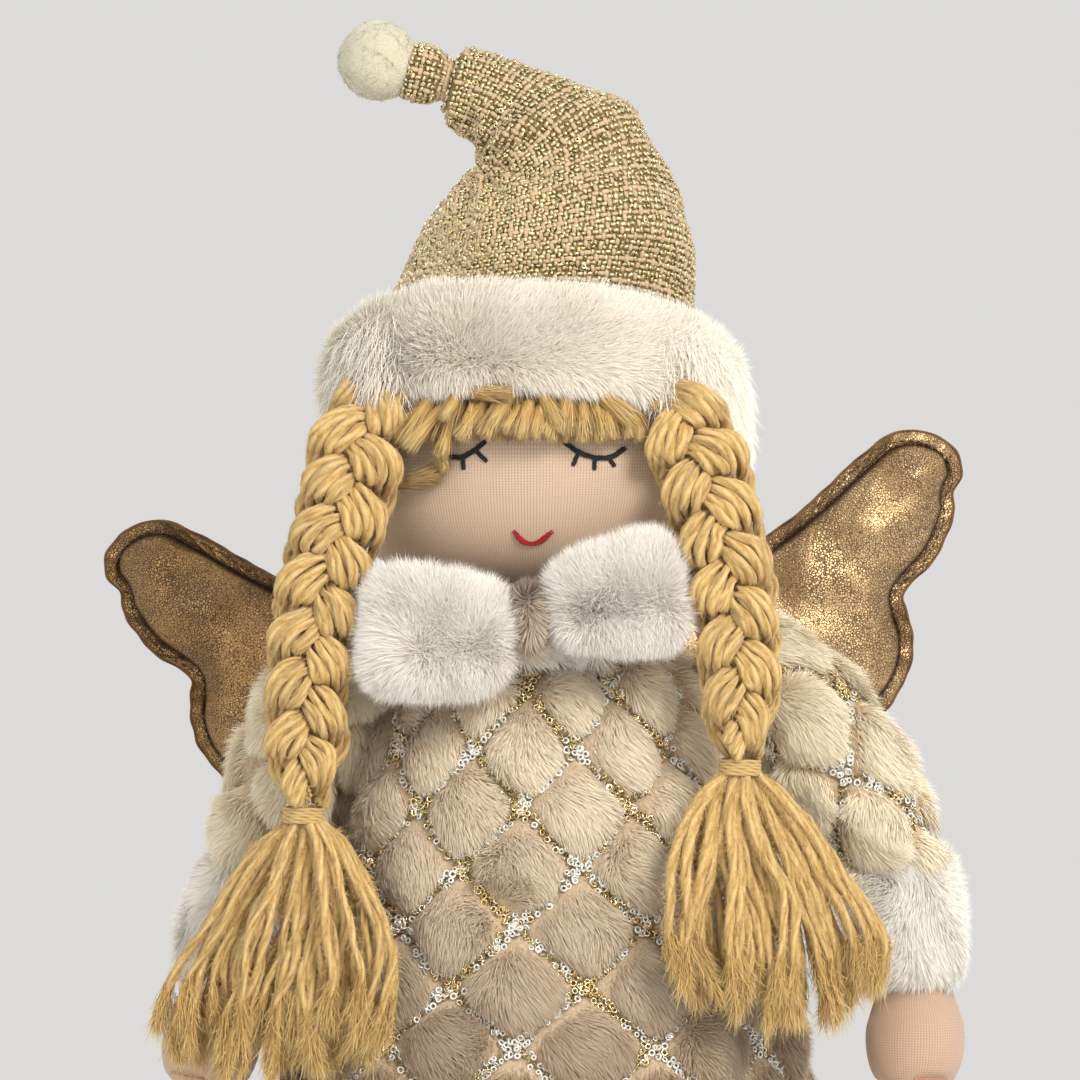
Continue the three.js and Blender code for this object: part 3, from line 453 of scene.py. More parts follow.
# Combed hairs in tufts: a share of them (tuft) leads, and the rest lean towards the nearest of those (tuftShare)
def fur(base, seed, count, length, width, rise, comb=None, tuft=0.1, tuftShare=0.1, swirl=0.5, swirlSize=14,
        weight=None, lengthAt=None, paintedShadeAt=None, loose=0.12):
    chance = np.random.default_rng(seed)
    normals = normalsOf(base)
    read = scatter(base, count, chance, weight)
    roots, out = read(base["points"]), unit(read(normals))
    way = (read(comb) if comb is not None else 0) + Drift(swirlSize, seed + 1).wayAt(roots) * swirl
    way = way - dot(way, out) * out
    stray = chance.normal(size=(count, 3)) * loose
    lean = unit(out * rise + way * 0.6 + stray)
    tipLean = unit(out * rise * 0.5 + way * 1.2 + stray)
    long = length * chance.uniform(0.72, 1.15, count) * (1 if lengthAt is None else read(lengthAt))
    centres = chance.choice(count, max(8, int(count * tuft)), replace=False)
    near = nearest(roots, roots[centres])
    pull = (roots[centres][near] - roots) * (2 * tuftShare) / long[:, None]
    tipLean = tipLean + pull - dot(pull, out) * out
    facing = unit(out + chance.normal(size=(count, 3)) * 0.3)
    tone = chance.random(count) * 0.5 + chance.random(len(centres))[near] * 0.5
    # how far each hair is mixed into the shadow colour: painted shade
    paintedShade = np.zeros(count) if paintedShadeAt is None else read(paintedShadeAt)
    return hairs(roots - out * 0.3, lean, tipLean, long, width * chance.uniform(0.7, 1.25, count), facing,
                 np.stack([tone, paintedShade], 1))


# Tubes along paths; lobes are the plies of a yarn, which turn once in each pitch
def tubes(paths, radius, sides=8, lobes=0, lobeShare=0.0, pitch=12.0, tones=None, roundEnds=True):
    paths = np.asarray(paths, float)
    k, n, _ = paths.shape
    along = unit(np.gradient(paths, axis=1))
    ref = unit(np.cross(along[:, 0], np.array([0.31, -0.89, 0.33])))
    u = np.empty_like(paths)
    for i in range(n):
        ref = unit(ref - dot(ref, along[:, i]) * along[:, i])
        u[:, i] = ref
    v = np.cross(along, u)
    steps = np.linalg.norm(np.diff(paths, axis=1), axis=2)
    gone = np.concatenate([np.zeros((k, 1)), np.cumsum(steps, 1)], 1)
    radius = np.broadcast_to(radius, (k, n)).copy()
    if roundEnds:
        radius[:, 0] *= 0.55
        radius[:, -1] *= 0.55
    angle = circle(sides)
    spun = lobes * angle[None, None] - 2 * np.pi * lobes * gone[..., None] / (pitch * max(lobes, 1))
    r = radius[..., None] * (1 + lobeShare * np.cos(spun))
    rim = (r * np.cos(angle))[..., None] * u[:, :, None] + (r * np.sin(angle))[..., None] * v[:, :, None]
    rim = paths[:, :, None] + rim
    ends = np.stack([paths[:, 0] - along[:, 0] * radius[:, :1] * 0.5,
                     paths[:, -1] + along[:, -1] * radius[:, -1:] * 0.5], 1)
    points = np.concatenate([rim.reshape(k, -1, 3), ends], 1)
    each = n * sides + 2
    i, j = np.meshgrid(np.arange(n - 1), np.arange(sides), indexing="ij")
    jn = (j + 1) % sides
    quad = np.stack([i * sides + j, i * sides + jn, (i + 1) * sides + jn, (i + 1) * sides + j], -1).reshape(-1, 4)
    j = np.arange(sides)
    jn = (j + 1) % sides
    tri = np.vstack([
        np.stack([np.full(sides, n * sides), jn, j], 1),
        np.stack([np.full(sides, n * sides + 1), (n - 1) * sides + j, (n - 1) * sides + jn], 1),
    ])
    base = (np.arange(k) * each)[:, None, None]
    tones = np.random.default_rng(k).random(k) if tones is None else tones
    vals = np.empty((k, each, 3))
    vals[:, :, 0] = tones[:, None]
    vals[:, :-2, 1] = np.repeat(gone, sides, 1)
    vals[:, :-2, 2] = np.tile(angle / (2 * np.pi), (k, n)) - np.repeat(gone, sides, 1) / (pitch * max(lobes, 1))
    vals[:, -2:, 1:] = vals[:, [0, n * sides - 1], 1:]
    return part(points, quad[None] + base, tri[None] + base, vals)


def stamp(shape, centres, across, along, out, sizes, values):        # copies a small part to many places
    local = shape["points"]
    sizes = np.broadcast_to(sizes, (len(centres), 3))
    points = (centres[:, None]
              + (local[None, :, :1] * sizes[:, None, :1]) * across[:, None]
              + (local[None, :, 1:2] * sizes[:, None, 1:2]) * along[:, None]
              + (local[None, :, 2:] * sizes[:, None, 2:]) * out[:, None])
    base = (np.arange(len(centres)) * len(local))[:, None, None]
    vals = np.repeat(values[:, None], len(local), 1)
    return part(points, shape["quads"][None] + base, shape["tris"][None] + base, vals)


def addPiece(name, p, finish, body, stands=(), slot=None, bend=None):
    mesh = bpy.data.meshes.new(name)
    quads, tris = p["quads"], p["tris"]
    mesh.vertices.add(len(p["points"]))
    mesh.vertices.foreach_set("co", (p["points"] * mm).ravel())
    corners = np.concatenate([quads.ravel(), tris.ravel()])
    sizes = np.concatenate([np.full(len(quads), 4), np.full(len(tris), 3)])
    mesh.loops.add(len(corners))
    mesh.loops.foreach_set("vertex_index", corners.astype(np.int32))
    mesh.polygons.add(len(sizes))
    mesh.polygons.foreach_set("loop_start", (np.cumsum(sizes) - sizes).astype(np.int32))
    mesh.polygons.foreach_set("use_smooth", np.ones(len(sizes), bool))
    kept = mesh.attributes.new("strand", "FLOAT_VECTOR", "POINT")
    kept.data.foreach_set("vector", p["values"].ravel())
    mesh.update(calc_edges=True)
    mesh.materials.append(finish)
    holder = bpy.data.objects.new(name, mesh)
    bpy.context.scene.collection.objects.link(holder)
    if bend:        # held by the root at the first point and by the body at the second
        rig.blend(holder, "root", body, *bend)
    else:
        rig.ride(holder, body)
    if stands:
        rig.replaces(holder, *stands)
    if slot:
        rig.slot(holder, slot)
    return holder


def addHairs(name, p, finish, body, slot, bend=None):        # in bands by height, so that no piece grows too large
    count = len(p["tris"])
    each, bends = len(p["points"]) // count, len(p["quads"]) // count
    points, values = (p[kept].reshape(count, each, 3) for kept in ("points", "values"))
    points[..., 2] = np.maximum(points[..., 2], lowestHair)        # none goes through the floor
    bands = math.ceil(count * (2 * bends + 1) / mostTriangles)
    for number, pick in enumerate(np.array_split(np.argsort(points[:, 0, 2]), bands)):
        band = part(points[pick], p["quads"][:len(pick) * bends], p["tris"][:len(pick)], values[pick])
        addPiece(name if bands == 1 else f"{name}_{number + 1}", band, finish, body, slot=slot, bend=bend)


# Finishes

class Finish:        # a short way to write a material's nodes
    def __init__(self, name, rough=0.8, **sockets):
        self.mat = bpy.data.materials.new(name)
        self.mat.use_nodes = True
        self.tree = self.mat.node_tree
        self.shader = self.tree.nodes["Principled BSDF"]
        self.shader.inputs["Roughness"].default_value = rough
        for socket, value in sockets.items():
            self.feed(self.shader.inputs[socket.replace("_", " ")], value)

    def feed(self, socket, value):
        if isinstance(value, bpy.types.NodeSocket):
            self.tree.links.new(value, socket)
        elif isinstance(value, tuple) and len(value) == 3 and socket.type == "RGBA":
            socket.default_value = (*value, 1)
        else:
            socket.default_value = value

    def node(self, kind, feeds=None, **settings):
        made = self.tree.nodes.new("ShaderNode" + kind)
        for key, value in settings.items():
            setattr(made, key, value)
        for key, value in (feeds or {}).items():
            self.feed(made.inputs[key], value)
        return made

    def strand(self):        # the three values kept at each point
        kept = self.node("Attribute", attribute_name="strand")
        split = self.node("SeparateXYZ", {0: kept.outputs["Vector"]})
        return split.outputs[0], split.outputs[1], split.outputs[2]

    def place(self):
        return self.node("TexCoord").outputs["Object"]

    def calc(self, operation, a, b=0.0, c=0.0):
        return self.node("Math", {0: a, 1: b, 2: c}, operation=operation).outputs[0]

    def point(self, x, y, z):
        return self.node("CombineXYZ", {0: x, 1: y, 2: z}).outputs[0]

    def grain(self, size, detail=3.0):        # size in millimetres
        feeds = {"Scale": 1 / (size * mm), "Detail": detail, "Roughness": 0.55, "Vector": self.place()}
        return self.node("TexNoise", feeds).outputs["Fac"]

    def ramp(self, factor, stops):
        made = self.node("ValToRGB", {0: factor})
        parts = made.color_ramp.elements
        while len(parts) < len(stops):
            parts.new(0.5)
        for element, (at, colour) in zip(parts, stops):
            element.position = at
            element.color = (*colour, 1) if isinstance(colour, tuple) else (colour, colour, colour, 1)
        return made.outputs[0]

    def mix(self, factor, a, b, kind="MIX"):
        made = self.node("Mix", data_type="RGBA", blend_type=kind)
        self.feed(made.inputs[0], factor)
        self.feed(made.inputs[6], a)
        self.feed(made.inputs[7], b)
        return made.outputs[2]

    def relief(self, height, depth, strength=1.0):        # depth in millimetres
        made = self.node("Bump", {"Height": height, "Distance": depth * mm, "Strength": strength})
        self.feed(self.shader.inputs["Normal"], made.outputs[0])

    def colour(self, value):
        self.feed(self.shader.inputs["Base Color"], value)

    def rough(self, value):
        self.feed(self.shader.inputs["Roughness"], value)


def furFinish(name, root, middle, tip, shadow, streak=0.82):        # streak: how bright the darkest hair is
    f = Finish(name, 0.75, Sheen_Weight=0.4, Sheen_Roughness=0.45, Specular_IOR_Level=0.25)
    tone, share, paintedShade = f.strand()
    # roots darker than tips: painted shade deep in the pile
    along = f.ramp(share, [(0.0, root), (0.45, middle), (1.0, tip)])
    each = f.ramp(tone, [(0.15, streak), (0.5, (1 + streak) / 2), (0.85, 1.0)])
    # the shadow colour, mixed in by the third value, is painted shade
    f.colour(f.mix(paintedShade, f.mix(1.0, along, each, "MULTIPLY"), shadow))
    return f.mat


def plushGroundFinish(name, light, dark):        # the cloth and dense pile under the longer hairs
    f = Finish(name, 0.9, Sheen_Weight=0.3, Sheen_Roughness=0.5)
    streak = f.grain(1.1, 4)
    f.colour(f.ramp(streak, [(0.25, dark), (0.7, light)]))
    f.relief(f.grain(0.7, 4), 0.8)
    return f.mat


def yarnFinish(name, light, middle, dark):
    f = Finish(name, 0.82, Sheen_Weight=0.35, Sheen_Roughness=0.4, Specular_IOR_Level=0.3)
    tone, gone, around = f.strand()
    scales = ((around, 7.0), (gone, 0.22), (tone, 40.0))
    fibres = f.point(*(f.calc("MULTIPLY", value, scale) for value, scale in scales))
    fine = f.node("TexNoise", {"Vector": fibres, "Scale": 1.6, "Detail": 4.0, "Roughness": 0.6}).outputs["Fac"]
    # the ply term puts the dark colour in the valleys between plies: painted shade; the fibre noise is the yarn's own
    # streaky tone
    ply = f.calc("COSINE", f.calc("MULTIPLY", around, 3 * 2 * math.pi))
    ply = f.calc("MULTIPLY_ADD", ply, 0.5, 0.5)
    depth = f.calc("ADD", f.calc("MULTIPLY", fine, 0.75), f.calc("MULTIPLY", ply, 0.25))
    body = f.ramp(depth, [(0.22, dark), (0.45, middle), (0.72, light)])
    each = f.ramp(tone, [(0.0, 0.88), (1.0, 1.0)])
    patches = f.ramp(f.grain(9, 2), [(0.3, 0.92), (0.7, 1.0)])
    f.colour(f.mix(1.0, f.mix(1.0, body, each, "MULTIPLY"), patches, "MULTIPLY"))
    f.relief(depth, 0.5, 0.8)
    return f.mat


def jerseyFinish(name, light, dark, blush):        # fine knit: columns of small V stitches
    f = Finish(name, 0.85, Sheen_Weight=0.3, Sheen_Roughness=0.4, Specular_IOR_Level=0.25)
    _, across, up = f.strand()
    column = f.calc("FRACT", f.calc("DIVIDE", across, 0.9))
    arm = f.calc("ABSOLUTE", f.calc("SUBTRACT", column, 0.5))
    row = f.calc("ADD", f.calc("DIVIDE", up, 0.8), f.calc("MULTIPLY", arm, 1.3))
    stitch = f.calc("MULTIPLY_ADD", f.calc("COSINE", f.calc("MULTIPLY", row, 2 * math.pi)), 0.5, 0.5)
    rib = f.calc("SINE", f.calc("MULTIPLY", column, math.pi))
    knit = f.calc("MULTIPLY", f.calc("POWER", rib, 0.45), f.calc("MULTIPLY_ADD", stitch, 0.6, 0.4))
    worn = f.grain(0.5, 2)
    depth = f.calc("ADD", f.calc("MULTIPLY", knit, 0.85), f.calc("MULTIPLY", worn, 0.15))
    # darker between the stitches: painted shade; worn adds a random tone
    cloth = f.ramp(depth, [(0.1, dark), (0.75, light)])
    f.colour(f.mix(f.ramp(f.grain(30, 2), [(0.35, 0.0), (0.75, 0.5)]), cloth, blush))
    f.relief(depth, 0.28, 0.7)
    return f.mat


def lurexFinish(name, pale, gold, dark):        # metal thread
    f = Finish(name, 0.33, Metallic=0.85)
    tone, _, _ = f.strand()
    glint = f.grain(0.55, 3)
    metal = f.ramp(tone, [(0.0, dark), (0.4, gold), (1.0, pale)])
    f.colour(f.mix(f.ramp(glint, [(0.38, 0.0), (0.6, 1.0)]), metal, pale))
    f.rough(f.ramp(f.grain(0.4, 2), [(0.3, 0.22), (0.7, 0.5)]))
    f.relief(glint, 0.25)
    return f.mat


def cottonFinish(name, light, dark, size=0.35):
    f = Finish(name, 0.85, Sheen_Weight=0.3, Sheen_Roughness=0.4)
    tone, _, _ = f.strand()
    fibre = f.grain(size, 3)
    each = f.ramp(tone, [(0.0, 0.85), (1.0, 1.0)])
    f.colour(f.mix(1.0, f.ramp(fibre, [(0.25, dark), (0.7, light)]), each, "MULTIPLY"))
    f.relief(fibre, 0.2)
    return f.mat


def sequinFinish(name, face, glow, metal):
    f = Finish(name, 0.16, Metallic=metal, Coat_Weight=0.6, Coat_Roughness=0.05)
    tone, _, _ = f.strand()
    f.colour(f.ramp(tone, [(0.0, face), (0.6, glow), (1.0, face)]))
    f.rough(f.ramp(f.grain(0.8, 2), [(0.3, 0.1), (0.7, 0.32)]))
    return f.mat


def foilLeatherFinish(name, gold, bronze, crack, edge):
    f = Finish(name, 0.35, Metallic=0.8)
    _, groove, rim = f.strand()
    cellScale, shift = 1150.0, (0.0008, 0.0008, 0.0008)
    small = f.node("TexNoise", {"Vector": f.place(), "Scale": 650.0, "Detail": 1.0}).outputs["Color"]
    shifted = f.node("VectorMath", {0: small, 1: shift}, operation="MULTIPLY").outputs[0]
    where = f.node("VectorMath", {0: f.place(), 1: shifted}, operation="ADD").outputs[0]
    cells = f.node("TexVoronoi", {"Vector": where, "Scale": cellScale}, feature="DISTANCE_TO_EDGE").outputs["Distance"]
    dots = f.node("TexVoronoi", {"Vector": where, "Scale": cellScale}, feature="F1").outputs["Color"]
    open_ = f.ramp(f.grain(16, 2), [(0.4, 0.08), (0.62, 0.22)])
    cracked = f.ramp(f.calc("DIVIDE", cells, open_), [(0.0, 0.0), (1.0, 1.0)])
    worn = f.ramp(f.grain(22, 3), [(0.32, bronze), (0.68, gold)])
    foil = f.mix(f.ramp(dots, [(0.2, 0.0), (0.9, 0.55)]), worn, gold)
    # the seam groove takes the crack colour: painted shade
    face = f.mix(groove, f.mix(cracked, crack, foil), crack)
    bare = f.mix(f.ramp(f.grain(1.2, 3), [(0.35, 0.0), (0.65, 1.0)]), edge, bronze)
    f.colour(f.mix(rim, face, bare))
    f.feed(f.shader.inputs["Metallic"], f.calc("MULTIPLY", cracked, f.calc("MULTIPLY_ADD", rim, -0.6, 0.85)))
    f.rough(f.ramp(f.grain(2.5, 3), [(0.3, 0.24), (0.7, 0.5)]))
    dome = f.calc("ADD", f.calc("MULTIPLY", cracked, 0.5), f.calc("MULTIPLY", f.grain(0.6, 2), 0.6))
    f.relief(dome, 0.42, 0.9)
    return f.mat


def feltFinish(name, light, dark, size=1.0):
    f = Finish(name, 0.95, Sheen_Weight=0.5, Sheen_Roughness=0.5, Specular_IOR_Level=0.15)
    wool = f.ramp(f.grain(size, 5), [(0.3, dark), (0.7, light)])
    f.colour(f.mix(f.ramp(f.grain(9, 2), [(0.35, 0.0), (0.65, 0.6)]), wool, dark))
    f.relief(f.grain(size * 0.6, 5), 0.35)
    return f.mat


looks = [        # colours as on a screen
    (furFinish, {        # root, middle, tip, shadow and streak
        "brimFur": ((236, 214, 184), (250, 241, 224), (255, 251, 242), (222, 202, 172), 0.93),
        "collarFur": ((244, 228, 208), (254, 247, 237), (255, 252, 247), (228, 208, 186), 0.95),
        # the knot's plush painted darker: painted shade between the lobes
        "knotFur": ((156, 134, 112), (196, 176, 154), (226, 210, 190), (130, 108, 86), 0.8),
        "dressFur": ((232, 205, 168), (253, 235, 206), (255, 246, 224), (146, 112, 76), 0.84),
        # a lighter copy of the dress fur: painted light on the sleeves
        "sleeveFur": ((248, 224, 186), (255, 242, 214), (255, 249, 230), (232, 202, 160), 0.95),
        "cuffFur": ((242, 230, 212), (251, 245, 234), (255, 252, 245), (232, 218, 198), 0.9),
        "yarnFibre": ((198, 158, 90), (219, 183, 114), (240, 212, 150), (140, 102, 52), 0.8),
        "pompomFibre": ((210, 204, 180), (216, 210, 188), (224, 218, 196), (200, 192, 166)),
    }),
    (plushGroundFinish, {        # light and dark
        "brimGround": ((250, 241, 226), (232, 218, 196)),
        "collarGround": ((247, 238, 224), (226, 211, 190)),
        "dressGround": ((218, 194, 162), (180, 154, 122)),
    }),
    (yarnFinish, {        # light, middle and dark
        "yarn": ((231, 202, 143), (210, 174, 109), (154, 114, 59)),
    }),
    (jerseyFinish, {        # light, dark and blush
        "jersey": ((219, 196, 173), (166, 137, 111), (209, 176, 150)),
        "handJersey": ((214, 186, 162), (167, 134, 107), (206, 169, 143)),
    }),
    (lurexFinish, {        # pale, gold and dark
        "lurex": ((240, 226, 184), (180, 156, 98), (92, 74, 36)),
    }),
    (cottonFinish, {        # light, dark and the size of the grain
        "hatCotton": ((230, 204, 166), (184, 153, 110)),
        # the cloth under the weave, dark: painted shade in the gaps between the threads
        "hatGround": ((164, 138, 90), (98, 76, 40), 0.6),
        "rawEdge": ((132, 92, 50), (84, 56, 28), 0.5),
        "blackThread": ((36, 34, 37), (9, 8, 9), 0.3),
        "redThread": ((190, 14, 40), (128, 6, 22), 0.3),
        "skinThread": ((214, 160, 130), (160, 106, 80), 0.3),
        "brownThread": ((112, 78, 40), (70, 46, 22), 0.3),
    }),
    (sequinFinish, {        # face, glow and metal
        "goldSequin": ((236, 208, 140), (255, 240, 205), 0.9),
        "pearlSequin": ((250, 246, 238), (238, 240, 232), 0.25),
    }),
    (foilLeatherFinish, {        # gold, bronze, crack and bare edge
        # one leather in two copies: the right wing's darker, painted shade, and the left wing's lighter, painted light
        "rightFoil": ((192, 154, 104), (130, 97, 58), (52, 34, 19), (114, 72, 36)),
        "leftFoil": ((232, 198, 150), (166, 130, 86), (60, 40, 23), (130, 86, 46)),
    }),
    (feltFinish, {        # light, dark and the size of the grain
        "pompomWool": ((214, 208, 184), (204, 197, 172)),
        "baseFelt": ((214, 200, 178), (186, 170, 146), 1.4),
        "pelletCloth": ((200, 196, 186), (160, 156, 146), 1.0),
    }),
]

finishes = {}
for make, kind in looks:
    for name, facts in kind.items():
        finishes[name] = make(name, *(shade(*fact) if isinstance(fact, tuple) else fact for fact in facts))
print("finishes are ready")


# Floor

def addFloor():
    p = grid(turned([(r, 0) for r in np.linspace(1, studio["floorRadius"], 8)], circle(96)), endCap=False)
    mesh = bpy.data.meshes.new("floor")
    mesh.from_pydata((p["points"] * mm).tolist(), [], p["quads"].tolist() + p["tris"].tolist())
    paper = Finish("floorPaper", 0.9)
    paper.colour(paper.ramp(paper.grain(40, 2), [(0.3, shade(226, 225, 223)), (0.7, shade(230, 229, 227))]))
    mesh.materials.append(paper.mat)
    holder = bpy.data.objects.new("floor", mesh)
    holder.location.z = -studio["floorDrop"] * mm
    bpy.context.scene.collection.objects.link(holder)
    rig.stage(holder)


addFloor()


# Surfaces that take quilting, fur and trim are functions of two numbers

def outOf(surface, a, b, stepA, stepB):        # the direction out of the surface
    alongA = unit(surface(a + stepA, b) - surface(a - stepA, b))
    alongB = unit(surface(a, b + stepB) - surface(a, b - stepB))
    return unit(np.cross(alongA, alongB))


def quilt(u, v):        # 0 in the seams and 1 in the middle of a diamond
    a = np.abs((u + v) - np.round(u + v)) * 2
    b = np.abs((u - v) - np.round(u - v)) * 2
    return ((1 - (1 - a) ** 2.4) * (1 - (1 - b) ** 2.4)) ** 0.6


# A small cupped sequin with a hole
sequinShape = grid(turned([(0.3, 0.0), (0.74, 0.16), (1.0, -0.08)], circle(7)), ringsClosed=True)

trim = {
    "sequinSize": 1.32,
    "spacing": 1.55,
    "width": 2.3,        # between the two rows of sequins
    "threadRadius": 0.24,
    "loopLength": 3.0,
    "loopWidth": 1.7,
    "step": 0.62,        # along a thread
    "whiskers": 2.2,        # for each millimetre of seam
    "whiskerLength": (1.6, 3.6),
    "whiskerWidth": 0.34,
}


def trimAlong(surface, lines, stepA, stepB, seed, lift=2.5):
    chance = np.random.default_rng(seed)
    pearls, golds, threads, whiskers = [], [], [], []
    for line in lines:
        path = surface(line[:, 0], line[:, 1])
        gone = reached(path)

        def at(distance):        # the place, and the directions along, across and out
            a, b = (np.interp(distance, gone, line[:, k]) for k in (0, 1))
            nextA, nextB = (np.interp(distance + 0.5, gone, line[:, k]) for k in (0, 1))
            here, out = surface(a, b), outOf(surface, a, b, stepA, stepB)
            way = unit(surface(nextA, nextB) - here)
            return here, way, unit(np.cross(out, way)), out

        count = int(gone[-1] / trim["spacing"]) * 2
        distance = np.sort(chance.uniform(1, gone[-1] - 1, count))
        here, way, side, out = at(distance)
        shift = chance.normal(size=count) * 0.5 + np.where(np.arange(count) % 2, 1, -1) * trim["width"] / 2
        patch = Drift(26, seed + 5).at(here)
        bright = patch + chance.normal(size=count) * 0.35 > -0.15
        keep = chance.random(count) < 0.92
        face = unit(out + chance.normal(size=(count, 3)) * 0.45)
        across = unit(np.cross(face, way))
        centre = here + side * shift[:, None] + out * (lift + chance.random(count)[:, None] * 0.8)
        size = trim["sequinSize"] * chance.uniform(0.8, 1.1, count)
        values = toned(chance, count, 3)
        for kind, store in ((bright & keep, pearls), (~bright & keep, golds)):
            if kind.any():
                store.append(stamp(sequinShape, centre[kind], across[kind], unit(np.cross(face, across))[kind],
                                   face[kind], size[kind, None], values[kind]))
        steps = np.arange(0.5, gone[-1] - 0.5, trim["step"])
        here, way, side, out = at(steps)
        for phase in (0, np.pi):
            turn = 2 * np.pi * steps / trim["loopLength"] + phase
            wide = trim["loopWidth"] * (0.8 + 0.3 * np.sin(steps * 0.9 + phase))
            centre = here + side * (np.sin(turn) * wide)[:, None] + way * (np.sin(2 * turn) * 0.7)[:, None]
            centre = centre + out * (lift * 0.7 + 0.4 * np.cos(turn + phase))[:, None]
            threads.append(tubes(centre[None], trim["threadRadius"], sides=4, tones=chance.random(1)))
        count = int(gone[-1] * trim["whiskers"])
        here, way, side, out = at(chance.uniform(1, gone[-1] - 1, count))
        lean = unit(out * 0.5 + side * chance.choice([-1, 1], (count, 1)) * 0.8 + chance.normal(size=(count, 3)) * 0.4)
        whiskers.append(hairs(here + out * lift * 0.8, lean, lean, chance.uniform(*trim["whiskerLength"], count),
                              np.full(count, trim["whiskerWidth"]), unit(out + chance.normal(size=(count, 3)) * 0.5),
                              chance.random((count, 2))))
    return together(pearls), together(golds), together(threads + whiskers)


def addTrim(name, made, body, bend=None):
    kinds = (("pearl_sequins", "pearlSequin"), ("gold_sequins", "goldSequin"), ("gold_thread", "lurex"))
    for p, (kind, finish) in zip(made, kinds):
        addPiece(f"{name}_{kind}", p, finishes[finish], body, slot="hat_thread", bend=bend)


# Dress: a stuffed cone of long-haired plush, quilted in diamonds

dress = {
    "halfWidth": 89.5,
    "halfDepth": 71.0,
    "bottom": 3.3,
    "top": 218.0,
    "widths": [0.89, 0.985, 1, 0.978, 0.95, 0.91, 0.872, 0.827, 0.777, 0.715, 0.631, 0.503, 0.268],
    "diamonds": 11,
    "diamondHeight": 36.6,
    "crossingTurn": 9.4,        # degrees from the front
    "crossingHeight": 171.4,
    "puff": 6.4,
    "inset": 2.4,        # room for the pile
    "hairLength": 6.6,
    "hairWidth": 0.36,
    "rise": 0.42,
    "paintedHemShade": 1.1,        # painted shade, growing towards the hem
    "pieces": {"front_right": (-1, -1, 92000), "front_left": (1, -1, 92000), "back": (0, 1, 64000)},
}


def pileOver(high):        # the trim presses the pile flat along the seams
    return np.clip((high - 0.48) / 0.26, 0, 1)


def dressQuilt(turn, z):
    u = (turn - math.radians(dress["crossingTurn"])) / (2 * np.pi) * dress["diamonds"]
    return quilt(u, (z - dress["crossingHeight"]) / dress["diamondHeight"])


def dressAt(turn, z):        # turn is measured from the front, towards the figure's left
    t = (z - dress["bottom"]) / (dress["top"] - dress["bottom"])
    width = readAt(dress["widths"], t)
    out = -dress["inset"] - dress["puff"] * (1 - dressQuilt(turn, z))
    return np.stack([
        (dress["halfWidth"] * width + out) * np.sin(turn),
        -(dress["halfDepth"] * width + out) * np.cos(turn),
        z + 0 * turn,
    ], -1)


def makeDress():
    turn, z = np.meshgrid(circle(330), np.linspace(dress["bottom"] + 0.3, dress["top"] - 1, 160))
    rings = dressAt(turn, z)
    body = grid(rings)
    piece = addPiece("dress_quilted_body", body, finishes["dressGround"], "root", ["dress_body"])
    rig.padded(piece, 0.75)
    high = capped(dressQuilt(turn, z))
    points = body["points"]
    around = unit(points * [1, 1, 0]) @ rotation("z", 90).T
    comb = around * 0.55 + [0, 0, -1.0] + Drift(45, 3).wayAt(points) * 0.4
    pile = pileOver(high)
    for number, (name, (across, deep, count)) in enumerate(dress["pieces"].items()):
        there = (np.sign(points[:, 0]) != -across) * (np.sign(points[:, 1]) == deep) * (points[:, 2] < 212)
        # painted shade: darker in the quilt's valleys and towards the hem
        made = fur(body, 11 + number, count, dress["hairLength"], dress["hairWidth"], dress["rise"], comb,
                   tuft=0.09, tuftShare=0.1, swirl=0.18, weight=there * pile, lengthAt=0.35 + 0.65 * pile,
                   paintedShadeAt=0.3 * (1 - high) + dress["paintedHemShade"] * np.clip(1 - points[:, 2] / 165, 0, 0.58))
        addHairs(f"dress_plush_{name}", made, finishes["dressFur"], "root", "dress_plush")
    lines = []
    z = np.linspace(7, 206, 220)
    v = (z - dress["crossingHeight"]) / dress["diamondHeight"]
    for start in range(dress["diamonds"]):
        for way in (1, -1):
            turn = (start + way * v) * 2 * np.pi / dress["diamonds"] + math.radians(dress["crossingTurn"])
            lines.append(np.stack([turn, z], 1))
    addTrim("dress", trimAlong(dressAt, lines, 0.01, 0.6, 21), "root")


makeDress()
print("dress is quilted and trimmed")


# Arms: quilted sleeve, white plush cuff and jersey hand

arm = {
    "shoulder": (50.12, 0.0, 214.0),
    "reach": {"right": 59.98, "left": 73.98},
    "drop": 152.0,
    "forward": 8.0,
    "path": {
        "right": [[0, 0.07], [0.28, 0.19], [0.48, 0.36], [0.64, 0.53], [0.78, 0.69], [0.88, 0.84], [0.96, 1]],
        "left": [[0, 0.07], [0.36, 0.19], [0.62, 0.36], [0.78, 0.53], [0.86, 0.69], [0.89, 0.84], [0.88, 1]],
    },
    "depth": 0.92,
    "sleeveWidth": 22.0,
    "sleeveEnd": 0.51,
    "bend": [0.0, 0.22],        # the sleeve is held by the dress at the first and by the arm at the second
    "quiltTurn": {"right": 0.2, "left": 0.75},        # in diamonds
    "quiltRise": 0.1,
    "sleeveWidths": [0.78, 0.98, 1, 0.96, 0.86],
    "puff": 6.0,
    "inset": 1.8,
    "diamonds": 3,
    "sleeveHairs": 64000,
    "sleeveHairLength": 8.0,
    "cuffStart": 0.475,
    "cuffEnd": 0.765,
    "cuffWidths": [0.7, 0.96, 1.0, 1.02, 1.02, 0.96, 0.62],
    "cuffWidth": 15.4,
    "cuffHairs": 50000,
    "cuffHairLength": 8.0,
    "cuffHairWidth": 0.32,
    "handStart": 0.72,
    "handEnd": 0.985,
    "handWidth": 15.0,
    "handWidths": [0.78, 0.8, 0.84, 0.93, 1.02, 1.03, 0.97, 0.82, 0.5],
    "tuckAt": 0.86,        # a sewn tuck, as a share of the hand
    "tuckTurn": 1.1,
    "tuckDepth": 1.6,
}


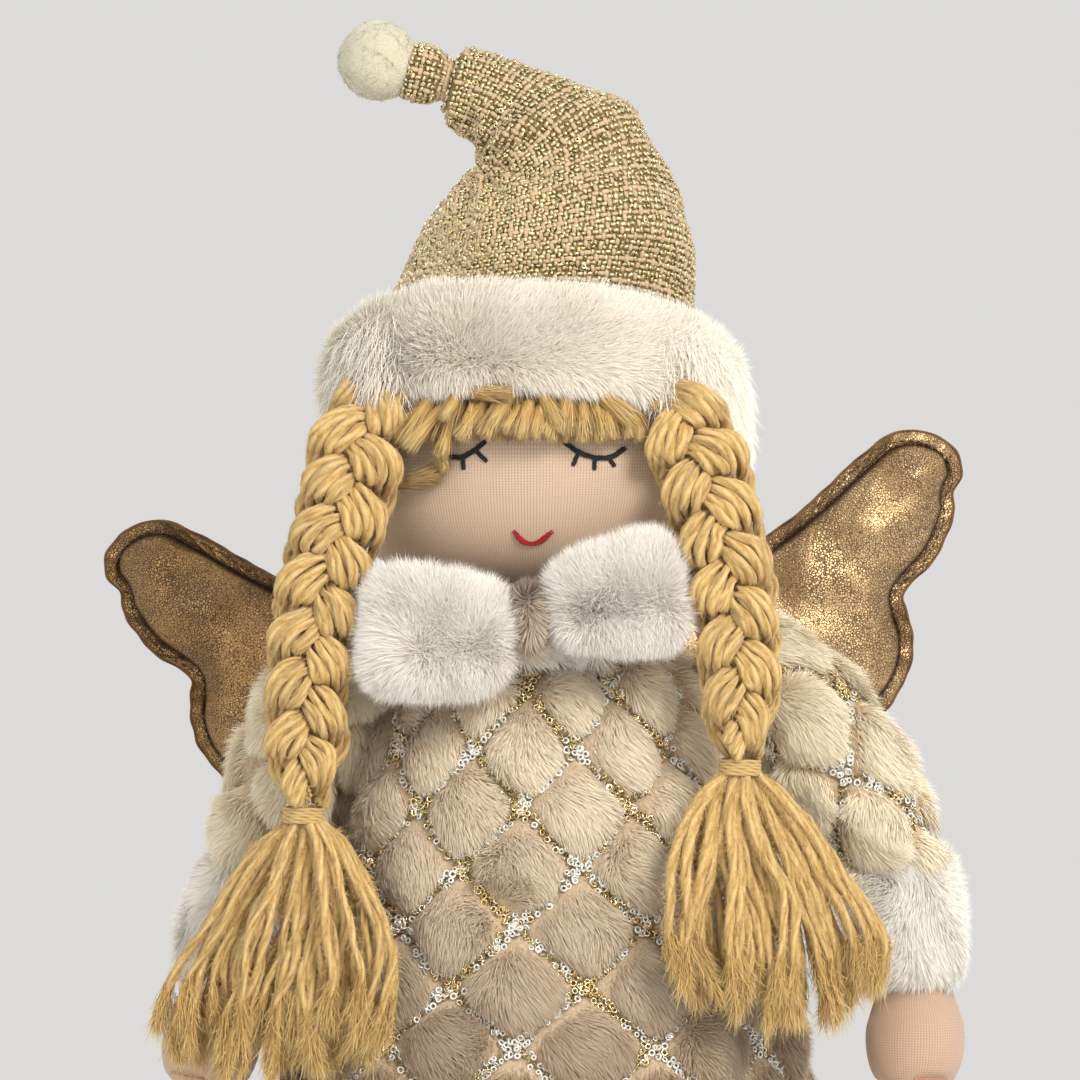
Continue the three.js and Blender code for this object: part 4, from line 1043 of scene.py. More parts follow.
def armPlacer(side):
    table = np.array([[arm["reach"][side] * out, -arm["forward"] * down, -arm["drop"] * down]
                      for out, down in arm["path"][side]])

    def at(angle, t, radius):        # angle 0 is outwards and a quarter turn is the front
        middle = readAt(table, t)
        along = unit(readAt(table, t + 0.004) - readAt(table, t - 0.004))
        across = unit(np.cross([0.0, 1, 0], along)) * -1
        p = middle + across * (radius * np.cos(angle))[..., None]
        p = p + [0.0, -1, 0] * (radius * arm["depth"] * np.sin(angle))[..., None]
        return (p + arm["shoulder"]) * [signs[side], 1, 1]

    return at, lineLength(evenly(table, 200))


def makeArm(side):
    at, long = armPlacer(side)
    body, shift = f"arm_{side}", arm["quiltTurn"][side]
    bend = [tuple(at(0, share, np.float64(0)) * mm) for share in arm["bend"]]

    def rowAt(t):
        return t * long / dress["diamondHeight"] + arm["quiltRise"]

    def sleeveQuilt(angle, t):
        return quilt(angle / (2 * np.pi) * arm["diamonds"] + shift, rowAt(t))

    def sleeveAt(angle, t):
        radius = arm["sleeveWidth"] * readAt(arm["sleeveWidths"], t / arm["sleeveEnd"])
        return at(angle, t, radius - arm["inset"] - arm["puff"] * (1 - sleeveQuilt(angle, t)))

    angle, t = np.meshgrid(circle(108), np.linspace(0, arm["sleeveEnd"], 90))
    sleeve = grid(sleeveAt(angle, t))
    high = capped(sleeveQuilt(angle, t))
    piece = addPiece(f"{body}_quilted_sleeve", sleeve, finishes["dressGround"], body, [f"{body}_sleeve"], bend=bend)
    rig.padded(piece, 0.7)
    down = capped(unit(sleeveAt(angle, t + 0.01) - sleeveAt(angle, t)))
    pile = pileOver(high)
    # painted shade in the quilt's valleys
    made = fur(sleeve, 41, arm["sleeveHairs"], arm["sleeveHairLength"], dress["hairWidth"], 0.7, down,
               tuft=0.07, tuftShare=0.14, swirl=0.4, weight=pile, lengthAt=0.35 + 0.65 * pile, paintedShadeAt=0.25 * (1 - high))
    # the sleeves take a lighter copy of the dress fur: painted light
    addHairs(f"{body}_sleeve_plush", made, finishes["sleeveFur"], body, "dress_plush", bend)
    lines = []
    t = np.linspace(0.1, arm["sleeveEnd"] - 0.02, 90)
    v = rowAt(t)
    for start in range(arm["diamonds"]):
        for way in (1, -1):
            lines.append(np.stack([(start + way * v - shift) * 2 * np.pi / arm["diamonds"], t], 1))
    addTrim(f"{body}_sleeve", trimAlong(sleeveAt, lines, 0.03, 0.004, 51), body, bend)

    angle, t = np.meshgrid(circle(72), np.linspace(arm["cuffStart"], arm["cuffEnd"], 36))
    share = (t - arm["cuffStart"]) / (arm["cuffEnd"] - arm["cuffStart"])
    ripple = 1 + 0.04 * np.sin(3 * angle + 5 * share)
    cuff = grid(at(angle, t, arm["cuffWidth"] * readAt(arm["cuffWidths"], share) * ripple))
    piece = addPiece(f"{body}_plush_cuff", cuff, finishes["collarGround"], body, [f"{body}_cuff"])
    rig.padded(piece, 0.6)
    down = capped(unit(at(angle, t + 0.01, arm["cuffWidth"]) - at(angle, t, arm["cuffWidth"])))
    made = fur(cuff, 61, arm["cuffHairs"], arm["cuffHairLength"], arm["cuffHairWidth"], 0.5, down * 0.8,
               tuft=0.1, tuftShare=0.1, swirl=0.45, swirlSize=20)
    addHairs(f"{body}_cuff_plush", made, finishes["cuffFur"], body, "white_plush")

    angle, t = np.meshgrid(circle(96) - np.pi / 2, np.linspace(arm["handStart"], arm["handEnd"], 80))
    reach = arm["handEnd"] - arm["handStart"]
    share = (t - arm["handStart"]) / reach
    radius = arm["handWidth"] * readAt(arm["handWidths"], share)
    aside = np.mod(angle - arm["tuckTurn"] + np.pi, 2 * np.pi) - np.pi
    tuck = np.exp(-((share - arm["tuckAt"]) / 0.05) ** 2) * np.exp(-(aside / 0.5) ** 2)
    values = np.stack([0 * t, angle * arm["handWidth"], share * long * reach], -1)
    hand = grid(at(angle, t, radius - arm["tuckDepth"] * tuck), values)
    piece = addPiece(f"{body}_jersey_hand", hand, finishes["handJersey"], body, [f"{body}_hand"])
    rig.padded(piece, 0.85)
    seam = np.linspace(0.6, 1.6, 9)
    stitches = at(seam, np.full(9, arm["handStart"] + arm["tuckAt"] * reach), np.full(9, 12.7))
    thread = tubes(evenly(stitches, 30)[None], 0.35, sides=6, lobes=2, lobeShare=0.25, pitch=3.0)
    addPiece(f"{body}_hand_stitches", thread, finishes["skinThread"], body, slot="jersey")


for side in ("right", "left"):
    makeArm(side)
print("arms are dressed")


# Head: stuffed jersey with embroidered lashes and mouth

head = {
    "centre": (-4.5, 0.0, 267.0),
    "half": (60.0, 47.0, 50.0),
    "fullness": 2.6,
    "knitAcross": 55.0,        # how far the knit runs in millimetres
    "knitUp": 85.0,
}


def headAt(turn, rise):        # rise runs from -1 at the chin to 1 at the crown
    across, up = superCircle(np.pi / 2 * rise, head["fullness"])
    return np.array(head["centre"]) + np.stack([
        head["half"][0] * across * np.sin(turn),
        -head["half"][1] * across * np.cos(turn),
        head["half"][2] * up,
    ], -1)


def faceAt(places, out):        # points of the front view laid on the face
    x, z = np.asarray(places, float).T
    level = np.abs(z - head["centre"][2]) / head["half"][2]
    across = (1 - level ** head["fullness"]) ** (1 / head["fullness"])
    side = (x - head["centre"][0]) / (head["half"][0] * across)
    return np.stack([x, -(head["half"][1] * across * np.sqrt(1 - side**2) + out), z], 1)


face = {
    "rightLash": [[-18.6, 266.3], [-21.7, 263.8], [-25.4, 261.7], [-29.8, 261.6]],
    "rightHairs": [[[-21.7, 263.8], [-18.2, 260.4]], [[-25.4, 261.7], [-25.2, 258.0]],
                   [[-29.6, 261.6], [-31.4, 258.6]]],
    "leftLash": [[6.2, 266.0], [10.8, 262.9], [15.8, 261.4], [20.5, 261.7], [24.5, 264.2]],
    "leftHairs": [[[10.4, 263.0], [8.7, 259.2]], [[15.5, 261.4], [15.2, 257.9]], [[19.5, 261.8], [21.4, 258.9]]],
    "mouth": [[-9.6, 238.7], [-7.4, 235.9], [-5.3, 235.0], [-3.1, 235.0], [-0.6, 236.2], [2.2, 238.7]],
    "mouthFullness": [0.6, 1.3, 1.1, 0.6, 1.1, 1.3, 0.6],
    "thread": 0.78,
}


# Satin stitches: short slanting threads side by side along a line
def stitched(places, radius, count, fullness=(1, 1)):
    line = faceAt(evenly(places, count + 1), 0.15)
    lift = np.array([0, -radius * 0.15, 0])
    parts = []
    for i in range(count):
        a, b = line[i], line[i + 1]
        long = b - a
        middle = (a + b) / 2
        side = unit(np.cross(long, [0, 1, 0])[None])[0]
        for k in (-0.5, 0.5):
            start = middle - long * 0.75 + side * (k * radius * 0.9 + 0.15 * radius * ((i * 7) % 3 - 1))
            end = middle + long * 0.75 + side * (k * radius * 0.9 - 0.15 * radius * ((i * 5) % 3 - 1))
            bow = (start + end) / 2 + [0, -radius * 0.45, 0]
            parts.append(np.stack([start, (start + bow) / 2 + lift, bow, (end + bow) / 2 + lift, end]))
    wide = np.repeat(readAt(fullness, np.linspace(0, 1, count)), 2)
    return tubes(np.stack(parts), radius * 0.62 * wide[:, None], sides=6)


def makeHead():
    turn, rise = np.meshgrid(circle(160) - np.pi, np.linspace(-0.985, 0.985, 100))
    values = np.stack([0 * turn, turn * head["knitAcross"], rise * head["knitUp"]], -1)
    ball = grid(headAt(turn, rise), values)
    piece = addPiece("head_jersey", ball, finishes["jersey"], "root", ["head"])
    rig.padded(piece, 0.9)
    thin = face["thread"]
    black = [stitched(line, thin, 9) for line in (face["rightLash"], face["leftLash"])]
    black += [stitched(line, thin * 0.85, 3) for line in face["rightHairs"] + face["leftHairs"]]
    addPiece("head_lashes", together(black), finishes["blackThread"], "root", slot="hat_thread")
    mouth = stitched(face["mouth"], thin, 11, face["mouthFullness"])
    addPiece("head_mouth", mouth, finishes["redThread"], "root", slot="hat_thread")


makeHead()
print("head is embroidered")


# Hat brim and collar: white plush bands and two folded lobes

brim = {
    "centre": (-4.0, 3.0, 281.0),
    "halfWidth": 65.0,
    "halfDepth": 60.0,
    "pile": 11.0,
    "height": 33.0,
    "tilt": 19.0,
    "roll": 3.0,
    "inset": 2.8,
    "pieces": {"front": (-1, 80000), "back": (1, 38000)},
    "hairLength": 8.0,
    "hairWidth": 0.32,
    "tuftHairs": 14000,        # those that fall over the tops of the plaits
    "tuftLength": 17.0,
    "sideHairs": 12000,        # those that hang at the figure's left
    "sideLength": 15.0,
}

collar = {
    "bandCentre": (-2.25, -3.0, 210.0),
    "bandHalf": (42.0, 41.0),
    "bandThickness": 10.0,
    "bandHeight": 20.0,
    "bandTilt": -6.0,
    "inset": 3.0,
    "knotCentre": (-4.5, -52.0, 212.0),
    "knotHalf": (5.2, 9.0, 11.0),
    "knotInset": 2.6,
    "bandHairs": 30000,
    "knotHairs": 9000,
    "hairLength": 7.0,
    "lobeHalfDepth": 12.0,
    "lobeFullness": 4.4,
    "lobeInset": 3.6,
    "lobeHairs": 64000,
    "lobeHairLength": 9.0,
    "lobeHairWidth": 0.3,
    "foldDepth": 3.6,
    "foldWidth": 3.0,
}

lobes = {        # the crease runs from near the knot to the point where it fades, across and up from the centre
    "right": {"centre": (-33.0, -51.0, 207.0), "half": (23.0, 21.0), "turn": 4.0, "taper": 0.15,
              "crease": [[34, -4.5], [-2, -3.0]]},
    "left": {"centre": (22.0, -51.0, 218.5), "half": (21.0, 20.0), "turn": -8.0, "taper": 0.24,
             "crease": [[-32, -3.5], [32, -3.5]]},
}


def bandRings(centre, halfWidth, halfDepth, thickness, height, tilt, roll, inset, steps=200, sides=40):
    turn, section = np.meshgrid(circle(steps), circle(sides), indexing="ij")
    across, up = superCircle(section, 2.4)
    out = across * (thickness / 2 - inset)
    p = np.stack([
        (halfWidth - thickness / 2 + out) * np.cos(turn),
        (halfDepth - thickness / 2 + out) * np.sin(turn),
        up * (height / 2 - inset),
    ], -1)
    return p @ (rotation("x", -tilt) @ rotation("y", roll)).T + centre


def makeBrim():
    rings = bandRings(brim["centre"], brim["halfWidth"], brim["halfDepth"], brim["pile"], brim["height"],
                      brim["tilt"], brim["roll"], brim["inset"])
    wave = Drift(30, 71).at(rings.reshape(-1, 3)).reshape(rings.shape[:2])
    body = grid(rings, ringsClosed=True)
    normals = normalsOf(body)
    body["points"] = body["points"] + normals * (wave.reshape(-1, 1) * 0.8)
    piece = addPiece("hat_plush_brim", body, finishes["brimGround"], "root", ["hat_brim"])
    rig.padded(piece, 0.5)
    outward = unit((body["points"] - brim["centre"]) * [1, 1, 0])
    inside = dot(normals, outward)[:, 0]
    around = outward @ rotation("z", 90).T
    comb = around * 0.35 + [0, 0, 1.0] * np.clip(normals[:, 2:] * 2.2 - 0.5, -0.8, 0.5)
    for number, (name, (deep, count)) in enumerate(brim["pieces"].items()):
        weight = np.clip(inside + 0.7, 0, 1) * (np.sign(body["points"][:, 1]) == deep)
        made = fur(body, 72 + number, count, brim["hairLength"], brim["hairWidth"], 0.45, comb, tuft=0.12,
                   tuftShare=0.1, swirl=0.14, swirlSize=40, weight=weight, loose=0.17)
        addHairs(f"hat_brim_plush_{name}", made, finishes["brimFur"], "root", "white_plush")

    chance = np.random.default_rng(78)

    def hang(name, count, length, weight, spread, start, startNoise, end, endNoise, face):        # longer hairs
        read = scatter(body, count, chance, weight)
        out, noise = unit(read(normals)), chance.normal(size=(count, 3))
        lean, tipLean = unit(out * spread + start + noise * startNoise), unit(end + noise * endNoise)
        made = hairs(read(body["points"]), lean, tipLean, length * chance.uniform(0.6, 1.1, count),
                     np.full(count, brim["hairWidth"]),
                     unit(face + noise * 0.3), toned(chance, count), (0, 0.3, 0.65, 1))
        addHairs(name, made, finishes["brimFur"], "root", "white_plush")

    fromMiddle = np.abs(body["points"][:, 0] - brim["centre"][0])
    low = np.clip(0.5 - normals[:, 2], 0, 1) * (body["points"][:, 1] < -8)
    low = low * np.clip(1 - np.abs(fromMiddle - 52) / 13, 0, 1)
    hang("hat_brim_tufts", brim["tuftHairs"], brim["tuftLength"], low, spread=0.5, start=[0, -1.1, 0.15],
         startNoise=0.2, end=[0, -0.25, -1.1], endNoise=0.25, face=[0, -1.0, 0.5])
    side = body["points"] - brim["centre"]
    low = np.clip(0.3 - normals[:, 2], 0, 1) * (side[:, 0] > 44) * (np.abs(side[:, 1]) < 38)
    hang("hat_brim_side_hairs", brim["sideHairs"], brim["sideLength"], low, spread=0.8, start=[0.2, 0, -0.5],
         startNoise=0.15, end=[0.1, 0, -1.1], endNoise=0.2, face=[0.6, -1.0, 0.3])


def makeCollar():
    rings = bandRings(collar["bandCentre"], *collar["bandHalf"], collar["bandThickness"], collar["bandHeight"],
                      collar["bandTilt"], 0, collar["inset"], steps=120, sides=24)
    band = grid(rings, ringsClosed=True)
    piece = addPiece("collar_plush_band", band, finishes["collarGround"], "root", ["collar_band"])
    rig.padded(piece, 0.5)
    made = fur(band, 81, collar["bandHairs"], collar["hairLength"], 0.36, 0.7, tuft=0.1, tuftShare=0.12, swirl=0.8)
    addHairs("collar_band_plush", made, finishes["collarFur"], "root", "white_plush")

    turn, rise = np.meshgrid(circle(48), np.linspace(-0.97, 0.97, 36))
    across, up = superCircle(np.pi / 2 * rise, 2.4)
    knotHalf = np.array(collar["knotHalf"]) - collar["knotInset"]
    knot = np.stack([across * np.cos(turn), across * np.sin(turn), up], -1) * knotHalf
    body = grid(np.array(collar["knotCentre"]) + knot)
    piece = addPiece("collar_plush_knot", body, finishes["collarGround"], "root", ["collar_knot"])
    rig.padded(piece, 0.6)
    made = fur(body, 82, collar["knotHairs"], collar["hairLength"], 0.34, 0.6, tuft=0.06, tuftShare=0.35, swirl=0.8)
    # its darker fur is painted shade between the lobes
    addHairs("collar_knot_plush", made, finishes["knotFur"], "root", "white_plush")

    for number, (side, lobe) in enumerate(lobes.items()):
        turn, rise = np.meshgrid(circle(120), np.linspace(-0.98, 0.98, 90))
        across, up = superCircle(np.pi / 2 * rise, collar["lobeFullness"])
        x, y = superCircle(turn, 2.8)
        inset = collar["lobeInset"]
        wide = (lobe["half"][0] - inset) * across * x
        tall = (lobe["half"][1] - inset) * up * (1 - lobe["taper"] * (1 - signs[side] * wide / lobe["half"][0]))
        start, end = np.array(lobe["crease"], float)
        flat = np.stack([wide, tall], -1)
        along = np.clip(((flat - start) @ (end - start)) / ((end - start) ** 2).sum(), 0, 1)
        fromCrease = flat - start - along[..., None] * (end - start)
        away = np.linalg.norm(fromCrease, axis=-1)
        crease = collar["foldDepth"] * np.exp(-((away / collar["foldWidth"]) ** 2)) * (1.1 - 0.7 * along)
        depth = (collar["lobeHalfDepth"] - inset + 1) * across * y
        lumps = Drift(17, 88 + number).at(np.stack([wide, depth, tall], -1)) * 1.1
        local = np.stack([wide, depth + np.where(y < 0, (crease + lumps) * np.abs(y), 0), tall], -1)
        rings = local @ rotation("y", lobe["turn"]).T + lobe["centre"]
        body = grid(rings)
        piece = addPiece(f"collar_plush_lobe_{side}", body, finishes["collarGround"], "root", [f"collar_lobe_{side}"])
        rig.padded(piece, 0.7)
        sweep = capped(np.insert(fromCrease, 1, 0, -1))
        comb = sweep / (5 + np.linalg.norm(sweep, axis=1, keepdims=True)) @ rotation("y", lobe["turn"]).T
        inFront = np.clip(0.4 - normalsOf(body)[:, 1], 0.15, 1)
        made = fur(body, 84 + number, collar["lobeHairs"], collar["lobeHairLength"], collar["lobeHairWidth"], 0.42,
                   comb, tuft=0.045, tuftShare=0.45, swirl=0.2, swirlSize=16, weight=inFront, loose=0.26)
        addHairs(f"collar_lobe_{side}_plush", made, finishes["collarFur"], "root", "white_plush")


makeBrim()
makeCollar()
print("brim and collar are furred")


# Hat: a bent cone of woven metal and cotton thread, tied off below the pompom

hat = {
    "centre": (0.0, 4.0, 288.0),
    "halfWidth": 46.0,
    "rise": 104.0,
    "topLean": -4.0,
    "depth": 0.9,
    "foot": [[0.1, 0.6], [0.35, 0.9], [0.6, 1.3]],        # up the brim and in from its outside
    "firstShare": 3 / 13,
    "inner": [[-1, 0], [-0.95, 0.22], [-0.86, 0.39], [-0.76, 0.47], [-0.64, 0.545], [-0.5, 0.606],
              [-0.452, 0.65], [-0.478, 0.692], [-0.543, 0.726], [-0.61, 0.75], [-0.66, 0.77]],
    "outer": [[0.93, 0], [0.91, 0.217], [0.99, 0.365], [0.963, 0.456], [0.911, 0.545], [0.804, 0.635],
              [0.709, 0.721], [0.54, 0.827], [0.1, 0.885], [-0.3, 0.96], [-0.52, 0.985]],
    "pitch": 1.75,        # from thread to thread
    "cottonRow": 4,
    "cottonColumn": 3,
    "sequins": 260,
    "tipSequins": 26,
    "softness": 1.3,
    "foldCentre": (-21.0, 0, 355.0),
    "foldReach": 12.0,
    "foldWidth": 11.0,
    "folds": 9,
    "foldDepth": 1.1,
    "gathered": 0.78,        # the share of the height where the gathers begin
    "tieTurns": 3.6,
    "tieRadius": 6.3,
    "tieThread": 0.42,
    "tipProfile": [[9.0, -2.5], [11.2, 0.2], [9.6, 1.6], [6.4, 2.4], [5.6, 3.4], [6.4, 5.0], [8.0, 7.5], [8.8, 10.5],
                   [8.9, 13.5], [8.2, 16.0], [6.0, 17.8], [3.0, 18.6]],
}

pompom = {
    "radius": 12.5,
    "along": 26.3,        # from the tied end
    "fibres": 16000,
    "fibreLength": 1.9,
    "fibreWidth": 0.12,
}


def hatEdge(t):
    foot, size = np.array([hat["centre"][0], 0, hat["centre"][2]]), [hat["halfWidth"], hat["rise"]]
    inner, outer = (foot + np.insert(readAt(hat[edge], t) * size, 1, 0, -1) for edge in ("inner", "outer"))
    inner[..., 1] = outer[..., 1] = hat["centre"][1] + hat["topLean"] * t
    return (inner + outer) / 2, (outer - inner) / 2


def hatRings(rows, count):
    angle = circle(count) - np.pi / 2
    rings = []
    place = (rotation("x", -brim["tilt"]) @ rotation("y", brim["roll"])).T
    for lift, inward in hat["foot"]:
        flat = np.stack([(brim["halfWidth"] - brim["pile"] * inward) * np.cos(angle),
                         (brim["halfDepth"] - brim["pile"] * inward) * np.sin(angle),
                         0 * angle + brim["height"] * lift], 1)
        rings.append(flat @ place + brim["centre"])
    for t in np.linspace(hat["firstShare"], 1, 11):
        middle, half = hatEdge(np.array(t))
        ring = middle + np.cos(angle)[:, None] * half
        ring[:, 1] += np.linalg.norm(half) * hat["depth"] * np.sin(angle)
        rings.append(ring)
    rings = np.stack(rings)
    return np.stack([evenly(rings[:, i], rows) for i in range(count)], 1)


def grainShape():        # a short thread with pointed ends
    turn = 2 * np.pi * (np.arange(4) + 0.5) / 4
    rings = np.stack([np.stack([np.full(4, x), 0.48 * np.cos(turn), 0.48 * np.sin(turn)], 1) for x in (-0.24, 0.24)])
    made = grid(rings)
    made["points"][-2:, 0] = [-0.56, 0.56]
    return made


threadGrain = grainShape()


def weave(rings, pitch, seed):        # short thread grains over and under on a surface of rings
    chance = np.random.default_rng(seed)
    rows, count, _ = rings.shape
    surface = grid(rings)
    normals = normalsOf(surface)[:rows * count].reshape(rings.shape)
    front = reached(rings.mean(1))
    places = np.interp(np.arange(pitch / 2, front[-1], pitch), front, np.arange(rows))
    store = {"lurex": [], "cotton": []}
    for i, place in enumerate(places):
        low = min(int(place), rows - 2)
        f = place - low
        ring = rings[low] * (1 - f) + rings[low + 1] * f
        out = unit(normals[low] * (1 - f) + normals[low + 1] * f)
        shut, outShut = np.vstack([ring, ring[:1]]), np.vstack([out, out[:1]])
        gone = reached(shut)
        half = int(gone[-1] / 2 / pitch)
        if half < 2:
            continue
        j = np.arange(-half, half)
        distance = np.mod(j * pitch, gone[-1])
        here, n = between(distance, gone, shut), unit(between(distance, gone, outShut))
        way = unit(between(np.mod(distance + 0.4, gone[-1]), gone, shut) - here)
        up = np.cross(n, way)
        level = (i + j) % 2 == 0
        cotton = np.where(level, i % hat["cottonRow"] == 0, j % hat["cottonColumn"] == 0)
        cotton = cotton ^ (chance.random(len(j)) < 0.04)
        a = np.where(level[:, None], way, up)
        a = unit(a + chance.normal(size=a.shape) * np.where(cotton, 0.06, 0.24)[:, None])
        b = unit(np.cross(n, a))
        c = unit(n + chance.normal(size=n.shape) * np.where(cotton, 0.05, 0.3)[:, None])
        here = here + n * (np.where(level, 0.3, 0.22) + chance.random(len(j)) * 0.22)[:, None]
        here = here + chance.normal(size=here.shape) * 0.1
        size = np.stack([pitch * np.where(cotton, 1.65, 1.35), pitch * np.where(cotton, 1.0, 0.86),
                         pitch * np.where(cotton, 0.9, 0.8)], 1) * chance.uniform(0.85, 1.12, (len(j), 1))
        values = toned(chance, len(j), 3)
        for kind, pick in (("lurex", ~cotton), ("cotton", cotton)):
            if pick.any():
                store[kind].append(stamp(threadGrain, here[pick], a[pick], b[pick], c[pick], size[pick], values[pick]))
    return together(store["lurex"]), together(store["cotton"])


def scatterSequins(surface, seed, count, weight=None):
    chance = np.random.default_rng(seed)
    read = scatter(surface, count, chance, weight)
    out = unit(read(normalsOf(surface)))
    face = unit(out + chance.normal(size=(count, 3)) * 0.3)
    across = unit(np.cross(face, chance.normal(size=(count, 3))))
    values = toned(chance, count, 3)
    return stamp(sequinShape, read(surface["points"]) + out * 1.1, across, np.cross(face, across), face,
                 0.95 * chance.uniform(0.8, 1.1, (count, 1)), values)


def addWeave(name, rings, seed):
    for p, (kind, finish) in zip(weave(rings, hat["pitch"], seed), (("metal", "lurex"), ("cotton", "hatCotton"))):
        addPiece(f"{name}_{kind}_weave", p, finishes[finish], "root", slot="hat_weave")


def makeHat():
    rings = hatRings(150, 260)
    rows, count, _ = rings.shape
    flat = rings.reshape(-1, 3)
    normals = normalsOf(grid(rings))[:rows * count]
    t = np.repeat(np.linspace(0, 1, rows), count)
    angle = np.tile(circle(count), rows)
    soft = Drift(34, 91).at(flat) * hat["softness"] * np.sin(np.pi * np.clip(t * 1.1, 0, 1))
    gathers = np.clip((t - hat["gathered"]) / 0.22, 0, 1) ** 1.5
    gathers = gathers * (np.sin(9 * angle + 1) * 0.9 + np.sin(14 * angle) * 0.5)
    bend = flat - hat["foldCentre"]
    spread = np.hypot(bend[:, 0], bend[:, 2])
    folds = np.cos(np.arctan2(bend[:, 2], bend[:, 0]) * hat["folds"])
    folds = np.exp(-((spread - hat["foldReach"]) / hat["foldWidth"]) ** 2) * folds * hat["foldDepth"]
    flat += normals * (soft - np.abs(gathers) + folds)[:, None]
    rings = flat.reshape(rings.shape)
    crown = grid(rings)
    # its dark cloth is painted shade in the gaps of the weave
    piece = addPiece("hat_crown_cloth", crown, finishes["hatGround"], "root", ["hat_crown"])
    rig.padded(piece, 0.5)
    addWeave("hat_crown", rings, 92)
    sequins = scatterSequins(crown, 93, hat["sequins"], capped(0.25 + 1.6 * np.clip(t - 0.45, 0, 1)))
    addPiece("hat_crown_sequins", sequins, finishes["goldSequin"], "root", slot="hat_weave")

    end, half = hatEdge(np.array(1.0))
    axis = unit(np.array([-half[2], 0, half[0]]))
    side = unit(half)
    other = np.cross(axis, side)
    angle = circle(110) - np.pi / 2
    rings = []
    for radius, along in evenly(hat["tipProfile"], 44):
        tuck = 0.55 * np.exp(-((along - 3.2) / 2.6) ** 2)
        r = radius + tuck * np.sin(8 * angle) - 0.35 * np.abs(np.sin(5 * angle + along * 0.2))
        ring = end + axis * along + np.cos(angle)[:, None] * side * r[:, None]
        rings.append(ring + np.sin(angle)[:, None] * other * r[:, None] * 0.95)
    rings = np.stack(rings)
    tip = grid(rings)
    addPiece("hat_tip_cloth", tip, finishes["hatGround"], "root", ["hat_tip"])
    addWeave("hat_tip", rings, 94)
    sequins = scatterSequins(tip, 95, hat["tipSequins"])
    addPiece("hat_tip_sequins", sequins, finishes["goldSequin"], "root", slot="hat_weave")

    turn = np.linspace(0, 2 * np.pi * hat["tieTurns"], 150)
    radius = hat["tieRadius"] + 0.15 * np.sin(turn * 0.7)
    wrap = end + axis * (2.9 + 1.5 * turn / turn[-1])[:, None] + (np.cos(turn) * radius)[:, None] * side
    wrap = wrap + (np.sin(turn) * radius)[:, None] * other
    thread = tubes(wrap[None], hat["tieThread"], lobes=2, lobeShare=0.2, pitch=2.0)
    addPiece("hat_tie_thread", thread, finishes["hatCotton"], "root", ["hat_tie"])

    centre = end + axis * pompom["along"]
    turn, rise = np.meshgrid(circle(110), np.linspace(-0.985, 0.985, 70))
    slope = np.pi / 2 * rise
    way = np.stack([np.cos(slope) * np.cos(turn), np.cos(slope) * np.sin(turn), np.sin(slope)], -1)
    lumps = Drift(1.1, 96).at(way)[..., None] * 0.3 + Drift(0.35, 97).at(way)[..., None] * 0.05
    ball = grid(centre + way * (pompom["radius"] + lumps))
    piece = addPiece("pompom_wool", ball, finishes["pompomWool"], "root", ["pompom"])
    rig.padded(piece, 0.95)
    made = fur(ball, 98, pompom["fibres"], pompom["fibreLength"], pompom["fibreWidth"], 0.4, tuft=0.05, tuftShare=0.2,
               swirl=1.6, swirlSize=5)
    addHairs("pompom_fibres", made, finishes["pompomFibre"], "root", "pompom_felt")


makeHat()
print("hat is woven")


# Hair: a fringe, two plaits of three strands, their ties and tassels

plait = {
    "strandRadius": 3.15,
    "sway": 8.6,
    "weave": 7.5,
    "tightness": 2.0,
    "slantSwell": 0.5,
    "edgeSwell": 0.35,
    "depth": 0.86,
    "topScale": 1.08,
    "endScale": 0.84,
    "yarns": 9,        # round each strand
    "yarnRadius": 0.315,        # of the strand's half-width
    "layer": 1.8,
    "fillers": [-6.0, -3.6, -1.2, 1.2, 3.6, 6.0],        # yarns laid inside, across the plait
    "fuzz": 30000,
    "tuck": 13.0,        # backwards under the brim
    "topReach": 0.2,        # the share of the length that narrows
    "bendLength": 26.0,        # the yarns give way over this height when a plait swings
    "fillerRadius": 1.5,
    "tieTurns": 5.3,
    "tieHalf": (6.0, 5.6),
    "tieHeight": 5.0,
    "tieYarn": 0.62,
}

plaits = {
    "right": {
        "turns": 2.7,
        "topWidth": 0.55,
        "topShift": 4.0,
        "path": [[-57.5, -38, 282], [-60.5, -43, 254], [-66.5, -45, 231], [-70.8, -46, 213],
                 [-73, -46, 195], [-74, -46, 177], [-74.4, -47, 156]],
        "spread": 37.0,
        "shift": -9.0,
    },
    "left": {
        "turns": 2.3,
        "topWidth": 0.6,
        "topShift": -4.0,
        "path": [[40, -42, 283], [47.4, -44, 261], [52, -46, 244], [56.5, -48, 228],
                 [58.7, -50, 211], [60, -51, 194], [60, -52, 171]],
        "spread": 35.0,
        "shift": 12.0,
    },
}

tassel = {
    "seeds": {"right": 121, "left": 122},
    "neck": 5.2,
    "neckDrop": 3.9,
    "length": 80.0,
    "depth": 8.0,
    "turn": 16.0,
    "swing": -8.0,
    "bunches": 20,
    "bunch": 3,        # yarns in each
    "yarnRadius": 1.5,
    "tufts": 200,        # fibres at each end
    "tuftLength": (6, 13),
    "tuftWidth": 0.3,
    "spreads": [0, 0.24, 0.42, 0.56, 0.68, 0.79, 0.89, 0.97, 1.0, 0.97],
    "fuzz": 40000,
}

